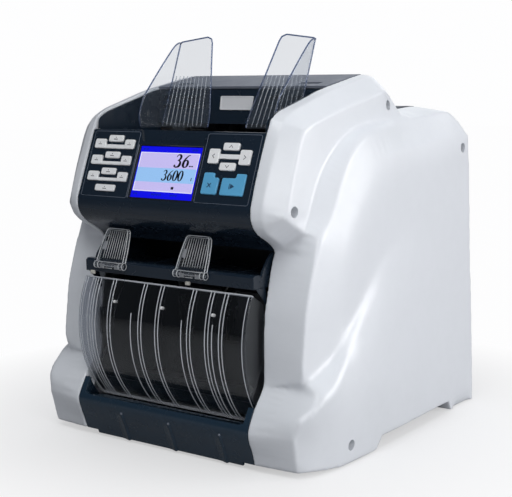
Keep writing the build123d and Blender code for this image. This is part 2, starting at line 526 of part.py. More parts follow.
def stopper_pins():
    """Each pin with the two lugs that stand on the crossbar's front face."""
    y, z = STOPPER_AXIS
    lug_x = (STOPPER_SLOT_IN + KNUCKLE_IN) / 2
    pins = []
    for centre_x in STOPPER_X:
        pin = rod(STOPPER_PIN_R, centre_x - 18.5, centre_x + 18.5, y, z)
        for side in SIDES:
            x = centre_x + side * lug_x
            pin = pin + box(x - 2.6, x + 2.6, y - 1.5, -149.65, z - 3.0, z + 1.0)
        pins.append(pin)
    return pins


# ---------------- control fascia ----------------
FASCIA_Y, FASCIA_Z = -156.2, 226.6      # lower front corner of the fascia plane
UP_Y, UP_Z = 0.3633, 0.9317             # direction up the fascia plane
FASCIA_WALL = 2.6
FASCIA_LENGTH = 65.5
KEY_GAP = 0.25
# the fascia's outer face below its flat, from the bottom up
FASCIA_NOSE = [(-122.6, 188.2), (-125.2, 191.9), (-135.2, 198.6), (-146.5, 204.9),
               (-153.1, 211.6), (-156.1, 218.4), (FASCIA_Y, FASCIA_Z)]


def rect(left, right, bottom, top):
    return [(left, bottom), (right, bottom), (right, top), (left, top)]


def u_key(bottom, notch, top):
    """Wide key with a notch in its upper edge."""
    return [(-93, bottom), (-44.5, bottom), (-44.5, top), (-56.2, top), (-56.2, notch),
            (-79.8, notch), (-79.8, top), (-93, top)]


# outlines on the fascia plane: (x, distance up the slope)
DISPLAY = rect(-36.6, 35.6, 3.4, 52.6)
SIDE_PAIR = [(44.2, 38.0), (55.5, 38.0), (55.5, 42.6), (77.7, 42.6), (77.7, 37.7), (89.5, 37.7),
             (89.5, 51.2), (77.7, 51.2), (77.7, 46.8), (55.5, 46.8), (55.5, 51.4), (44.2, 51.4)]
CLEAR = [(44.0, 10.5), (60.8, 10.5), (60.8, 25.6), (55.5, 25.6), (55.5, 29.9), (44.0, 29.9)]
START = [(64.6, 10.4), (89.3, 10.4), (89.3, 29.9), (79.0, 29.9), (79.0, 25.8), (64.6, 25.8)]
# "push" keys have one switch, "tilt" keys one at each end
KEYS = {
    "key_menu_upper": (u_key(48.3, 52.0, 57.3), "tilt"),
    "key_menu_middle": (u_key(32.8, 35.8, 41.7), "tilt"),
    "key_menu_lower": (u_key(17.3, 20.2, 26.2), "tilt"),
    "key_centre_upper": (rect(-77, -59.3, 54.8, 61.2), "push"),
    "key_centre_middle": (rect(-77, -59.3, 39.0, 45.3), "push"),
    "key_centre_lower": (rect(-77, -59.3, 23.4, 29.7), "push"),
    "key_bottom": (rect(-80.2, -56.0, 7.6, 13.9), "push"),
    "key_up": (rect(58.2, 75.4, 50.3, 57.1), "push"),
    "key_down": (rect(58.4, 75.2, 32.2, 39.3), "push"),
    "key_side_pair": (SIDE_PAIR, "tilt"),
    "key_clear": (CLEAR, "push"),
    "key_start": (START, "push"),
}


def fascia_block(outline, out0, out1):
    """Fascia outline extruded between two distances out from the fascia plane."""
    points = [Vector(x, FASCIA_Y + UP_Y * up - UP_Z * out0, FASCIA_Z + UP_Z * up + UP_Y * out0)
              for x, up in outline]
    return extrude_loop(points, Vector(0, -UP_Z * (out1 - out0), UP_Y * (out1 - out0)))


def grow(outline, gap):
    """Offsets a rectilinear outline outwards."""
    count = len(outline)
    area = 0
    for i in range(count):
        here, after = outline[i], outline[(i + 1) % count]
        area += here[0] * after[1] - after[0] * here[1]
    turn = 1.0 if area > 0 else -1.0
    grown = []
    for i in range(count):
        before, here, after = outline[i - 1], outline[i], outline[(i + 1) % count]
        normals = []
        for start, end in ((before, here), (here, after)):
            dx, dy = end[0] - start[0], end[1] - start[1]
            length = math.hypot(dx, dy)
            normals.append((dy / length * turn, -dx / length * turn))
        nx = (normals[0][0] + normals[1][0]) / 2
        ny = (normals[0][1] + normals[1][1]) / 2
        reach = gap / (nx * nx + ny * ny)
        grown.append((here[0] + nx * reach, here[1] + ny * reach))
    return grown


def control_fascia():
    top_y, top_z = FASCIA_Y + UP_Y * FASCIA_LENGTH, FASCIA_Z + UP_Z * FASCIA_LENGTH
    path = FASCIA_NOSE + [(top_y, top_z), (top_y + 2.2, top_z + 1.4), (top_y + 5.6, top_z + 1.2)]
    fascia = sheet(path[::-1], FASCIA_WALL, -FASCIA_HALF, FASCIA_HALF)
    # openings for the display and keys
    fascia -= fascia_block(DISPLAY, -6, 3)
    for outline, kind in KEYS.values():
        fascia -= fascia_block(grow(outline, KEY_GAP), -6, 3)
    # shallow scoop above the display
    fascia -= fascia_block([(-36, 56.5), (39, 56.5), (43, 70), (-40, 70)], -0.9, 3)
    return fascia


def fascia_key(outline):
    """Key cap with a flange under the fascia that keeps it in."""
    key = fascia_block(outline, -2.6, 1.3)
    key += fascia_block(grow(outline, 0.9), -4.9, -3.7) + fascia_block(outline, -3.8, -2.5)
    return key


def lcd_display():
    window = grow(DISPLAY, -0.3)
    return (fascia_block(window, -2.4, -0.5) + fascia_block(grow(DISPLAY, 2.0), -6.2, -2.9)
            + fascia_block(window, -3.0, -2.3))


def keypad_board():
    board = fascia_block(rect(-96, 96, 2.5, 63.5), -9.6, -8.0)
    for outline, kind in KEYS.values():
        key_x = [point[0] for point in outline]
        middle_up = sum(point[1] for point in outline) / len(outline)
        if kind == "push":
            places, top = [sum(key_x) / len(key_x)], -5.9
        else:
            places, top = [min(key_x) + 6, max(key_x) - 6], -6.3
        for x in places:
            switch = rect(x - 3, x + 3, middle_up - 2.4, middle_up + 2.4)
            board += fascia_block(switch, -8.1, top)
    return board


# ---------------- hopper ----------------
PICKUP_ROLLER_X = (-34.0, 34.0)
# hopper floor, falling a little to the back
FLOOR_PATH = [(-126.6, 287.6), (-60.0, 283.8), (-48.5, 283.2)]
HOPPER_SIDE = [(-126.3, 281.0), (-126.3, 289.6), (-128.4, 289.6), (-127.6, 296.6),
               (-125.6, 299.6), (-120.6, 302.6), (-115.2, 305.2), (-106.8, 307.8),
               (-82.6, 314.4), (-51.2, 323.2), (-41.6, 325.0), (-41.6, 281.0)]
# foot of each sliding guide, through a slot in the floor
FOOT_X0, FOOT_X1 = 52.0, 66.0
FOOT_Y0, FOOT_Y1 = -59.4, -57.4


def hopper_bed():
    bed = sheet(FLOOR_PATH[::-1], 2.2, -97.0, 97.0)
    for side in SIDES:
        bed += prism(HOPPER_SIDE, side * 96.2, side * 98.0)
    for x in PICKUP_ROLLER_X:
        bed -= box(x - 9, x + 9, PICKUP[0] - 16, PICKUP[0] + 16, 270, 300)
    for side in SIDES:
        bed -= box(side * (FOOT_X0 - 19.5), side * (FOOT_X1 + 11.5), -61.2, -56.2, 270, 300)
    return bed


def hopper_rear_wall():
    """Leaning wall with two fields of vents."""
    wall = prism([(-41.2, 324.6), (-46.4, 292.2), (-44.2, 292.2), (-39.0, 324.6)], -96.0, 96.0)
    for side in SIDES:
        for z in (316.6, 308.2):
            for i in range(9):
                x = side * (40.5 + i * 6.0)
                wall -= box(x - 2.0, x + 2.0, -60, -30, z - 1.6, z + 1.6)
    return wall


def badge_plate():
    """Blank plate on the front of the rear wall."""
    y, z = -43.45, 311.8
    outline = [(-18.5, -6.6), (19.0, -6.6), (20.5, 6.6), (-18.5, 6.6)]  # x, up the wall
    lean = math.atan2(5.4, 33.4)
    cos_lean, sin_lean = math.cos(lean), math.sin(lean)
    stand_off, thick = 0.9, 0.8
    points = [Vector(x, y - stand_off * cos_lean + up * sin_lean,
                     z + stand_off * sin_lean + up * cos_lean) for x, up in outline]
    return extrude_loop(points, Vector(0, thick * cos_lean, -thick * sin_lean))


# ---------------- hopper guides, racks and pinion ----------------
GUIDE_NORMAL_Y, GUIDE_NORMAL_Z = -0.9357, 0.3528   # forward normal of the leaning plate
GUIDE_OUTLINE = [(22.6, 289.0), (79.2, 289.0), (80.2, 369.3), (78.0, 371.0), (46.5, 375.0),
                 (41.5, 373.0), (39.6, 369.0), (24.0, 304.0)]  # x, z
WING_FRONT = [(-89.0, 289.0), (-91.6, 296.0), (-91.4, 302.0), (-85.0, 317.5), (-78.5, 325.4),
              (-60.2, 345.0), (-42.6, 362.6), (-36.5, 367.8), (-31.5, 370.2)]
PINION_Y = -59.0
PINION_R = 8.0                     # pitch radius
PINION_TEETH = 16
TOOTH_PITCH = 2 * math.pi * PINION_R / PINION_TEETH
PINION_POST_R = 2.0
RACK_Z0, RACK_Z1 = 275.0, 279.0


def guide_y(z):
    """Centre plane of the leaning guide plate."""
    return -54.0 + (z - 302.0) * 0.377


def guide_slab(outline, depth, thick):
    """(x, z) outline laid on the guide plane, pushed forward by depth, then thickened."""
    points = [Vector(x, guide_y(z) + GUIDE_NORMAL_Y * depth, z + GUIDE_NORMAL_Z * depth)
              for x, z in outline]
    return extrude_loop(points, Vector(0, GUIDE_NORMAL_Y * thick, GUIDE_NORMAL_Z * thick))


def hopper_guide():
    """Right-hand guide: leaning ribbed plate, forward wing and foot."""
    guide = guide_slab(GUIDE_OUTLINE, -1.1, 2.2)
    for i in range(9):
        foot_x, top_x = 30.0 + i * 5.4, 36.5 + i * 4.7
        guide += guide_slab([(foot_x - 0.4, 290), (foot_x + 0.4, 290), (top_x + 0.4, 337),
                             (top_x - 0.4, 337)], 1.0, 0.8)
    wing = WING_FRONT + [(guide_y(370.2) + 0.4, 370.2), (guide_y(289) + 0.4, 289.0)]
    guide += prism(wing, 78.5, 80.7)
    guide += box(FOOT_X0, FOOT_X1, FOOT_Y0, FOOT_Y1, 277.6, 292.0)
    return guide


def rack(side, facing):
    """Bar from a guide's foot past the pinion; facing is -1 in front of it, +1 behind."""
    y_root = PINION_Y + facing * (PINION_R + 1.2)
    y_back = PINION_Y + facing * (PINION_R + 4.4)
    y_tip = PINION_Y + facing * (PINION_R - 0.55)
    y_base = y_root + facing * 0.1
    x0, x1 = sorted((side * FOOT_X1, -side * 26.0))
    bar = box(x0, x1, y_root, y_back, RACK_Z0, RACK_Z1)
    # teeth on half pitches, so that the pinion meshes at rest
    for k in range(-10, 11):
        x = (k + 0.5) * TOOTH_PITCH
        if x0 + 1 < x < x1 - 1:
            bar += prism_z([(x - 0.62, y_base), (x + 0.62, y_base), (x + 0.34, y_tip),
                            (x - 0.34, y_tip)], RACK_Z0, RACK_Z1)
    # arm from the foot to the rack
    y_foot = FOOT_Y0 if facing > 0 else FOOT_Y1
    bar += box(side * FOOT_X0, side * FOOT_X1, y_foot, y_back, RACK_Z0, RACK_Z1)
    return bar


def guide_pinion():
    pinion = rod_z(PINION_R - 1.15, RACK_Z0 - 0.5, RACK_Z1 + 0.4, 0, PINION_Y)
    root, tip = PINION_R - 1.4, PINION_R + 0.55
    for k in range(PINION_TEETH):
        angle = 2 * math.pi * k / PINION_TEETH + math.pi / 2
        cos_a, sin_a = math.cos(angle), math.sin(angle)
        tooth = [(r * cos_a - t * sin_a, PINION_Y + r * sin_a + t * cos_a)
                 for r, t in ((root, -0.62), (tip, -0.32), (tip, 0.32), (root, 0.62))]
        pinion += prism_z(tooth, RACK_Z0, RACK_Z1)
    pinion -= rod_z(PINION_POST_R + RUN, 260, 290, 0, PINION_Y)
    return pinion


def guide_carrier():
    """Plate under the hopper floor with the pinion's post."""
    carrier = box(-96.0, 96.0, -75.5, -42.5, 270.6, 272.6)
    carrier += rod_z(PINION_POST_R, 272.5, 281.0, 0, PINION_Y)
    carrier -= box(-46, -22, -77, -75.0, 260, 290)
    return carrier


# ---------------- covers ----------------
COVER_WALL, COVER_HALF = 2.4, 99.0
TOP_COVER_PATH = [(-40.4, 327.6), (16.6, 338.0), (23.0, 337.2), (58.2, 307.8)]
REAR_COVER_PATH = [(62.6, 306.6), (108.0, 306.9), (121.0, 306.4), (131.0, 300.8),
                   (142.4, 291.2), (152.8, 276.4), (154.8, 211.0), (159.6, 128.8)]


def hinge_knuckle(x, axis, *pad):
    """Knuckle on a hinge axis and the pad, (y, z) ranges, that joins it to the cover."""
    ring = rod(3.4, x - 9, x + 9, *axis) - rod(1.55, x - 10, x + 10, *axis)
    return ring + (box(x - 9, x + 9, *pad) - rod(3.0, x - 12, x + 12, *axis))


def top_cover():
    cover = sheet(TOP_COVER_PATH[::-1], COVER_WALL, -COVER_HALF, COVER_HALF)
    for x0, x1 in ((-84, -66), (60, 84)):
        cover -= box(x0, x1, -30, -22, 320, 345)
    for x in TOP_HINGE_X:
        cover += hinge_knuckle(x, TOP_HINGE, 54.0, 57.5, 305.0, 308.0)
    return cover


def rear_cover():
    cover = sheet(REAR_COVER_PATH[::-1], COVER_WALL, -COVER_HALF, COVER_HALF)
    for x in REAR_HINGE_X:
        cover += hinge_knuckle(x, REAR_HINGE, 155.6, 158.0, 130.6, 136.0)
    return cover


# ---------------- back panel and what it carries ----------------
INLET_X, INLET_Z = -62.0, 44.0
INLET_HALF_X, INLET_HALF_Z = 14.0, 10.0
SWITCH_Z = 72.0                    # the switch sits above the inlet
FAN_X, FAN_Z = 58.0, 78.0
FAN_PIN_R = 1.5
BACK_CUT = (140, 180)              # y range of the cutters
# port openings (x0, x1, z0, z1), y range of each shell, and its socket (x0, x1, z0, z1)
PORTS = [
    ((-24, -10, 36, 48), (148, 165.4), (-22.4, -11.6, 37.6, 46.4)),
    ((-4, 14, 36, 48), (150, 165.6), (-2.2, 12.2, 38.0, 46.2)),
    ((-24, -8, 60, 70), (148, 163.6), (-22.5, -9.5, 61.5, 68.5)),
    ((-4, 10, 60, 70), (148, 163.6), (-2.3, 8.3, 61.6, 68.4)),
]


def box_about(x, z, half_x, half_z, y0, y1):
    return box(x - half_x, x + half_x, y0, y1, z - half_z, z + half_z)


def back_panel():
    panel = prism([(158.4, 124.8), (156.0, 124.8), (163.0, 9.0), (165.4, 9.0)], -98.0, 98.0)
    panel -= box_about(INLET_X, INLET_Z, INLET_HALF_X + 0.2, INLET_HALF_Z + 0.2, *BACK_CUT)
    panel -= box_about(INLET_X, SWITCH_Z, 8.9, 8.4, *BACK_CUT)
    for (x0, x1, z0, z1), depth, socket in PORTS:
        panel -= box(x0, x1, *BACK_CUT, z0, z1)
    # round field of fan holes
    for i in range(9):
        for j in range(9):
            x, z = FAN_X + (i - 4) * 4.6, FAN_Z + (j - 4) * 4.6
            if math.hypot(x - FAN_X, z - FAN_Z) < 20:
                panel -= rod_y(1.6, *BACK_CUT, x, z)
    return panel


def power_inlet():
    inlet = (box_about(INLET_X, INLET_Z, INLET_HALF_X, INLET_HALF_Z, 138, 162)
             + box_about(INLET_X, INLET_Z, 17, 12.5, 165.2, 166.6)
             + box_about(INLET_X, INLET_Z, INLET_HALF_X, INLET_HALF_Z, 161, 166))
    inlet -= box_about(INLET_X, INLET_Z, 11.5, 7.5, 148, 180)
    # three blades, the middle one raised
    for x, rise in ((-6, 0), (0, 2), (6, 0)):
        inlet += box_about(INLET_X + x, INLET_Z + rise, 1.2, 1.0, 147, 160)
    return inlet


def power_switch():
    """Rocker, rocking about an axis along X."""
    section = [(161.4, -6.2), (164.6, -6.4), (162.4, 0), (161.6, 6.4), (156.0, 4.4),
               (154.5, 0), (156.0, -4.4)]  # y, z from the switch's centre
    return prism([(y, SWITCH_Z + z) for y, z in section], INLET_X - 8.4, INLET_X + 8.4)


def data_ports():
    gap = 0.3
    ports = []
    for (x0, x1, z0, z1), depth, (in_x0, in_x1, in_z0, in_z1) in PORTS:
        ports.append(box(x0 + gap, x1 - gap, *depth, z0 + gap, z1 - gap)
                     - box(in_x0, in_x1, 154, 170, in_z0, in_z1))
    return ports


def fan_frame():
    """Square frame with a hub plate on three spokes and the rotor's pin."""
    frame = box_about(FAN_X, FAN_Z, 25, 25, 136, 151) - rod_y(23.4, 130, 160, FAN_X, FAN_Z)
    frame += rod_y(10, 136, 138, FAN_X, FAN_Z)
    for degrees in (45, 165, 285):
        cos_a, sin_a = math.cos(math.radians(degrees)), math.sin(math.radians(degrees))
        spoke = [(FAN_X + r * cos_a - t * sin_a, FAN_Z + r * sin_a + t * cos_a)
                 for r, t in ((9, 1.5), (24, 1.5), (24, -1.5), (9, -1.5))]
        frame += prism_y(spoke, 136, 138)
    frame += rod_y(FAN_PIN_R, 137.5, 148, FAN_X, FAN_Z)
    for dx in (-21.5, 21.5):
        for dz in (-21.5, 21.5):
            frame -= rod_y(1.7, 130, 160, FAN_X + dx, FAN_Z + dz)
    return frame


def fan_rotor():
    rotor = rod_y(9.5, 139.0, 149.5, FAN_X, FAN_Z)
    root, span = 8.8, 13.6
    section = [(-4.2, 140.2), (-3.2, 140.2), (4.4, 148.4), (3.4, 148.4)]  # tangential, y
    for k in range(7):
        angle = 2 * math.pi * k / 7
        cos_a, sin_a = math.cos(angle), math.sin(angle)
        points = [Vector(FAN_X + root * cos_a - t * sin_a, y, FAN_Z + root * sin_a + t * cos_a)
                  for t, y in section]
        rotor += extrude_loop(points, Vector(span * cos_a, 0, span * sin_a))
    rotor -= rod_y(FAN_PIN_R + RUN, 130, 148.2, FAN_X, FAN_Z)
    return rotor


# ---------------- note path ----------------
FEED_ROLLER_X = (-44.0, 0.0, 44.0)
TRANSPORT_ROLLER_X = (-66.0, -22.0, 22.0, 66.0)


def shaft(axis):
    return rod(SHAFT_R, -FRAME_OUT, FRAME_OUT, *axis)


def rollers(axis, radius, width, places):
    """Rollers centred at the given x places on one shaft."""
    shape = shaft(axis)
    for x in places:
        shape += rod(radius, x - width / 2, x + width / 2, *axis)
    return shape


def stacker_wheels():
    """Wheels with curved, tapering fingers."""
    y, z = STACKER
    fingers = 8
    stations = [(11.5, 0.0, 2.0), (24.0, 0.30, 1.5), (38.0, 0.85, 0.8)]  # r, lead, half width
    wheels = shaft(STACKER)
    for x in STACKER_WHEEL_X:
        wheels += rod(13.0, x - 5, x + 5, y, z)
        for k in range(fingers):
            outline = []
            for sign, edge in ((-1, stations), (1, stations[::-1])):
                for r, lead, half in edge:
                    angle = 2 * math.pi * k / fingers + lead + sign * half / r
                    outline.append((y + r * math.cos(angle), z + r * math.sin(angle)))
            wheels += prism(outline, x - 4, x + 4)
    return wheels


def diverter_gate():
    """Comb of fingers on a shaft, with a lever at the right end."""
    y, z = DIVERTER
    finger = [(y, z + 4.6), (y + 20, z + 1.6), (y + 34, z - 5), (y + 18, z - 4.6), (y, z - 4.6)]
    gate = shaft(DIVERTER)
    for x in range(-72, 73, 24):
        gate += prism(finger, x - 4, x + 4)
    gate += box(86.0, 90.0, y - 3, y + 3, z + 2, z + 16)
    return gate


def diverter_solenoid():
    """Body with its plunger towards the gate's lever."""
    x, z = 88.0, 205.0
    solenoid = box(78.0, 96.0, -48.0, -22.0, 196.0, 214.0) - rod_y(3.2, -60, -30, x, z)
    solenoid += rod_y(3.0, -66.4, -31.0, x, z)
    return solenoid


def image_sensor_bars():
    """Two bars with recesses that face each other across a gap."""
    return [box(-92, 92, 26, 44, 198, 214) - box(-90, 90, 24, 27.2, 203, 209),
            box(-92, 92, 2, 18, 198, 214) - box(-90, 90, 16.8, 19, 203, 209)]


# ---------------- drive ----------------
PULLEY_X0, PULLEY_X1 = -93.0, -85.0
MOTOR_PULLEY_R, LOWER_PULLEY_R = 9.0, 18.0
MOTOR_SHAFT_R = 3.0


def pulley(axis, radius):
    """Drum with a flange at each end."""
    return (rod(radius, PULLEY_X0, PULLEY_X1, *axis)
            + rod(radius + 2.5, PULLEY_X0 - 1.4, PULLEY_X0, *axis)
            + rod(radius + 2.5, PULLEY_X1, PULLEY_X1 + 1.4, *axis))


def drive_motor():
    y = MOTOR[0]
    motor = rod(27.0, -78.0, -18.0, *MOTOR) + rod(9.0, -80.0, -77.0, *MOTOR)
    motor += (box(-78.0, -18.0, y - 22, y + 22, BASE_TOP, 34.0)
              - box(-74.0, -22.0, y - 30, y + 30, 11.0, 26.0))
    motor -= rod(MOTOR_SHAFT_R + RUN, -81, -40, *MOTOR)
    return motor


def motor_pulley():
    return rod(MOTOR_SHAFT_R, -94.0, -45.0, *MOTOR) + pulley(MOTOR, MOTOR_PULLEY_R)


def transport_rollers_lower():
    return rollers(LOWER, 18.0, 12.0, TRANSPORT_ROLLER_X) + pulley(LOWER, LOWER_PULLEY_R)


def belt_loop(lift, steps=18):
    """Outline round both pulleys, lifted off their drums."""
    motor_r, lower_r = MOTOR_PULLEY_R + lift, LOWER_PULLEY_R + lift
    dy, dz = LOWER[0] - MOTOR[0], LOWER[1] - MOTOR[1]
    heading = math.atan2(dz, dy)
    wrap = math.acos((motor_r - lower_r) / math.hypot(dy, dz))
    points = []
    for (y, z), radius, start, turn in (
            (MOTOR, motor_r, heading + wrap, 2 * math.pi - 2 * wrap),
            (LOWER, lower_r, heading - wrap, 2 * wrap)):
        for i in range(steps + 1):
            angle = start + turn * i / steps
            points.append((y + radius * math.cos(angle), z + radius * math.sin(angle)))
    return points


def drive_belt():
    return (prism(belt_loop(2.0), PULLEY_X0 + 0.3, PULLEY_X1 - 0.3)
            - prism(belt_loop(0.35), PULLEY_X0 - 1, PULLEY_X1 + 1))


# ---------------- electronics ----------------
BOARD_Y0, BOARD_Y1 = 117.0, 118.6
BOARD_BLOCKS = [(-50, -26, 190, 214, 2.2), (-10, 12, 180, 202, 2.0), (24, 50, 150, 158, 8.0),
                (-60, -20, 136, 146, 9.0), (24, 40, 196, 212, 3.0),
                (-4, 12, 138, 150, 6.0)]  # x0, x1, z0, z1, height


def main_board():
    board = box(-70, 60, BOARD_Y0, BOARD_Y1, 130.0, 230.0)
    for x0, x1, z0, z1, height in BOARD_BLOCKS:
        board += box(x0, x1, BOARD_Y1 - 0.1, BOARD_Y1 + height, z0, z1)
    return board


def power_supply():
    """Block on a plate with four posts; round parts stand in a channel across its top."""
    supply = box(-8.0, 84.0, 32.0, 76.0, 22.4, 52.0)
    supply += box(-8.0, 84.0, 28.0, 80.0, 20.2, 22.4)
    for x in (-3.0, 79.0):
        for y in (33.0, 75.0):
            supply += rod_z(3.0, BASE_TOP, 20.3, x, y)
    supply -= box(-4.0, 80.0, 30.0, 78.0, 50.4, 54.0)
    for i in range(7):
        supply += rod_z(3.4, 44, 50.6 + (i % 3), 4 + i * 11.5, 46 + (i % 2) * 14)
    return supply


# ---------------- assembly and export ----------------
right_panel = side_panel()
right_frame = frame_plate()
right_guide = hopper_guide()

PARTS = {
    "right_side_panel": right_panel,
    "left_side_panel": mirror_x(right_panel),
    "panel_screws": panel_screws(),
    "right_frame_plate": right_frame,
    "left_frame_plate": mirror_x(right_frame),
    "tie_rods": tie_rods(),
    "base_plate": base_plate(),
    "rubber_feet": rubber_feet(),
    "front_apron": front_apron(),
    "stacker_door": stacker_door(),
    "stacker_pocket": stacker_pocket(),
    "reject_tray": reject_tray(),
    "reject_stopper_left": stopper(STOPPER_X[0]),
    "reject_stopper_right": stopper(STOPPER_X[1]),
    "stopper_pins": stopper_pins(),
    "control_fascia": control_fascia(),
    "lcd_display": lcd_display(),
    "keypad_board": keypad_board(),
    "hopper_bed": hopper_bed(),
    "hopper_rear_wall": hopper_rear_wall(),
    "badge_plate": badge_plate(),
    "hopper_guide_right": right_guide + rack(1, 1),
    "hopper_guide_left": mirror_x(right_guide) + rack(-1, -1),
    "guide_pinion": guide_pinion(),
    "guide_carrier": guide_carrier(),
    "top_cover": top_cover(),
    "rear_cover": rear_cover(),
    "pivot_pins": pivot_pins(),
    "back_panel": back_panel(),
    "power_inlet": power_inlet(),
    "power_switch": power_switch(),
    "data_ports": data_ports(),
    "fan_frame": fan_frame(),
    "fan_rotor": fan_rotor(),
    "pickup_rollers": rollers(PICKUP, 15.0, 14.0, PICKUP_ROLLER_X),
    "feed_rollers": rollers(FEED, 15.6, 16.0, FEED_ROLLER_X),
    "retard_rollers": rollers(RETARD, 13.4, 12.0, FEED_ROLLER_X),
    "transport_rollers_upper": rollers(UPPER, 22.0, 12.0, TRANSPORT_ROLLER_X),
    "transport_rollers_lower": transport_rollers_lower(),
    "stacker_wheels": stacker_wheels(),
    "diverter_gate": diverter_gate(),
    "diverter_solenoid": diverter_solenoid(),
    "image_sensor_bars": image_sensor_bars(),
    "drive_motor": drive_motor(),
    "motor_pulley": motor_pulley(),
    "drive_belt": drive_belt(),
    "main_board": main_board(),
    "power_supply": power_supply(),
}
for name, (outline, kind) in KEYS.items():
    PARTS[name] = fascia_key(outline)

os.makedirs("parts", exist_ok=True)
for name, shape in PARTS.items():
    solids = [solid.moved(Location((0, Y_SHIFT, 0))) for solid in solids_of(shape)]
    part = solids[0] if len(solids) == 1 else Compound(children=solids)
    export_step(part, f"parts/{name}.step")
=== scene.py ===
"""A desktop sheet-handling machine: two moulded side panels, a sloping fascia with keys
and display, clear hopper guides on top, clear stoppers in the reject pocket and a curved
clear stacker door. The front faces -Y, +X is the right-hand side and Z = 0 is the floor.
Design sizes are millimetres; W() turns them into scene metres."""
import json
import math
import bpy
import bmesh
import numpy as np
from mathutils import Vector, Matrix
from mathutils.geometry import delaunay_2d_cdt


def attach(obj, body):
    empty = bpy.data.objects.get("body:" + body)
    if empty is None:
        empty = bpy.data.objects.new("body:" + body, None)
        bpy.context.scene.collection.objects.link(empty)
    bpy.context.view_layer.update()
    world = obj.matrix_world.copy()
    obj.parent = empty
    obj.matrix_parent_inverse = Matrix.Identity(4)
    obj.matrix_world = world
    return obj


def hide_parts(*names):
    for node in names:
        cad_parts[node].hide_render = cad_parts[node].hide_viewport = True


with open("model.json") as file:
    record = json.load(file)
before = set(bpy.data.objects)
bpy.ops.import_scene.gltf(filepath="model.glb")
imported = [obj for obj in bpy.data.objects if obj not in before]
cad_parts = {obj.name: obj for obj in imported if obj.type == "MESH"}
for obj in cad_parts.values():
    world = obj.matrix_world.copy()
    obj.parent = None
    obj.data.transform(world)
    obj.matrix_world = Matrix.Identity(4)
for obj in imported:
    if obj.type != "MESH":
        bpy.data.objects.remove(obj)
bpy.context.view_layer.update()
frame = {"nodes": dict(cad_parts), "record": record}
NODES = frame["nodes"]

MM = 0.001
Y_SHIFT = -2.55                 # the design datum's shift along Y
PANEL_INNER = 100.0             # |x| of the side panels' inner faces
DARK_HALF = 99.6                # half width of the dark mouldings between the panels
DOOR_Y, DOOR_Z = -64.6, 107.0   # the door's pivot axis
DOOR_RADIUS, DOOR_WALL = 97.7, 2.4
# the keypad plane: lower edge, unit direction up the slope, length of the slope
FASCIA_Y, FASCIA_Z = -156.2, 226.6
SLOPE_Y, SLOPE_Z = 0.3633, 0.9317
SLOPE_LENGTH = 65.5
STOPPER_Y, STOPPER_Z = -153.2, 165.4
STOPPERS = (("reject_stopper_left", -63.6), ("reject_stopper_right", 31.9))


def W(x, y, z):
    """Design millimetres to scene metres."""
    return Vector((x * MM, (y + Y_SHIFT) * MM, z * MM))


def on_keypad(x, s, out=0.0):
    """Scene point at s up the keypad slope, standing out from it along its normal."""
    return W(x, FASCIA_Y + SLOPE_Y * s - SLOPE_Z * out, FASCIA_Z + SLOPE_Z * s + SLOPE_Y * out)


# ---------------------------------------------------------------- shader helpers
def new_material(name):
    mat = bpy.data.materials.new(name)
    mat.use_nodes = True
    mat.node_tree.nodes.clear()
    return mat, mat.node_tree


def add_node(tree, kind, inputs=None, **settings):
    """New node; each input is a value, or a socket to link from."""
    node = tree.nodes.new(kind)
    for key, value in settings.items():
        setattr(node, key, value)
    for key, value in (inputs or {}).items():
        socket = node.inputs[key]
        if isinstance(value, bpy.types.NodeSocket):
            tree.links.new(value, socket)
        elif socket.type == "RGBA":
            socket.default_value = (*value, 1.0)
        else:
            socket.default_value = value
    return node


def remap(tree, value, span, to):
    return add_node(tree, "ShaderNodeMapRange", {
        "Value": value, "From Min": span[0], "From Max": span[1],
        "To Min": to[0], "To Max": to[1]}).outputs["Result"]


def mix_color(tree, factor, a, b, mode="MIX"):
    # sockets 0, 6 and 7 are the mix node's factor and its two colours
    return add_node(tree, "ShaderNodeMix", {0: factor, 6: a, 7: b},
                    data_type="RGBA", blend_type=mode).outputs[2]


def mix_shader(tree, factor, a, b):
    return add_node(tree, "ShaderNodeMixShader", {0: factor, 1: a, 2: b}).outputs[0]


def multiply(tree, a, b):
    return add_node(tree, "ShaderNodeMath", {0: a, 1: b}, operation="MULTIPLY").outputs[0]


def noise(tree, vector, scale, detail=3.0, roughness=0.6, distortion=0.0):
    return add_node(tree, "ShaderNodeTexNoise", {
        "Vector": vector, "Scale": scale, "Detail": detail,
        "Roughness": roughness, "Distortion": distortion}).outputs["Fac"]


def bump(tree, height, strength, distance):
    return add_node(tree, "ShaderNodeBump", {
        "Height": height, "Strength": strength, "Distance": distance}).outputs[0]


def coords(tree):
    return add_node(tree, "ShaderNodeTexCoord").outputs["Object"]


def principled(tree, inputs):
    return add_node(tree, "ShaderNodeBsdfPrincipled", inputs).outputs[0]


def output(tree, shader):
    add_node(tree, "ShaderNodeOutputMaterial", {0: shader})


def scaled(color, factor):
    return [c * factor for c in color]


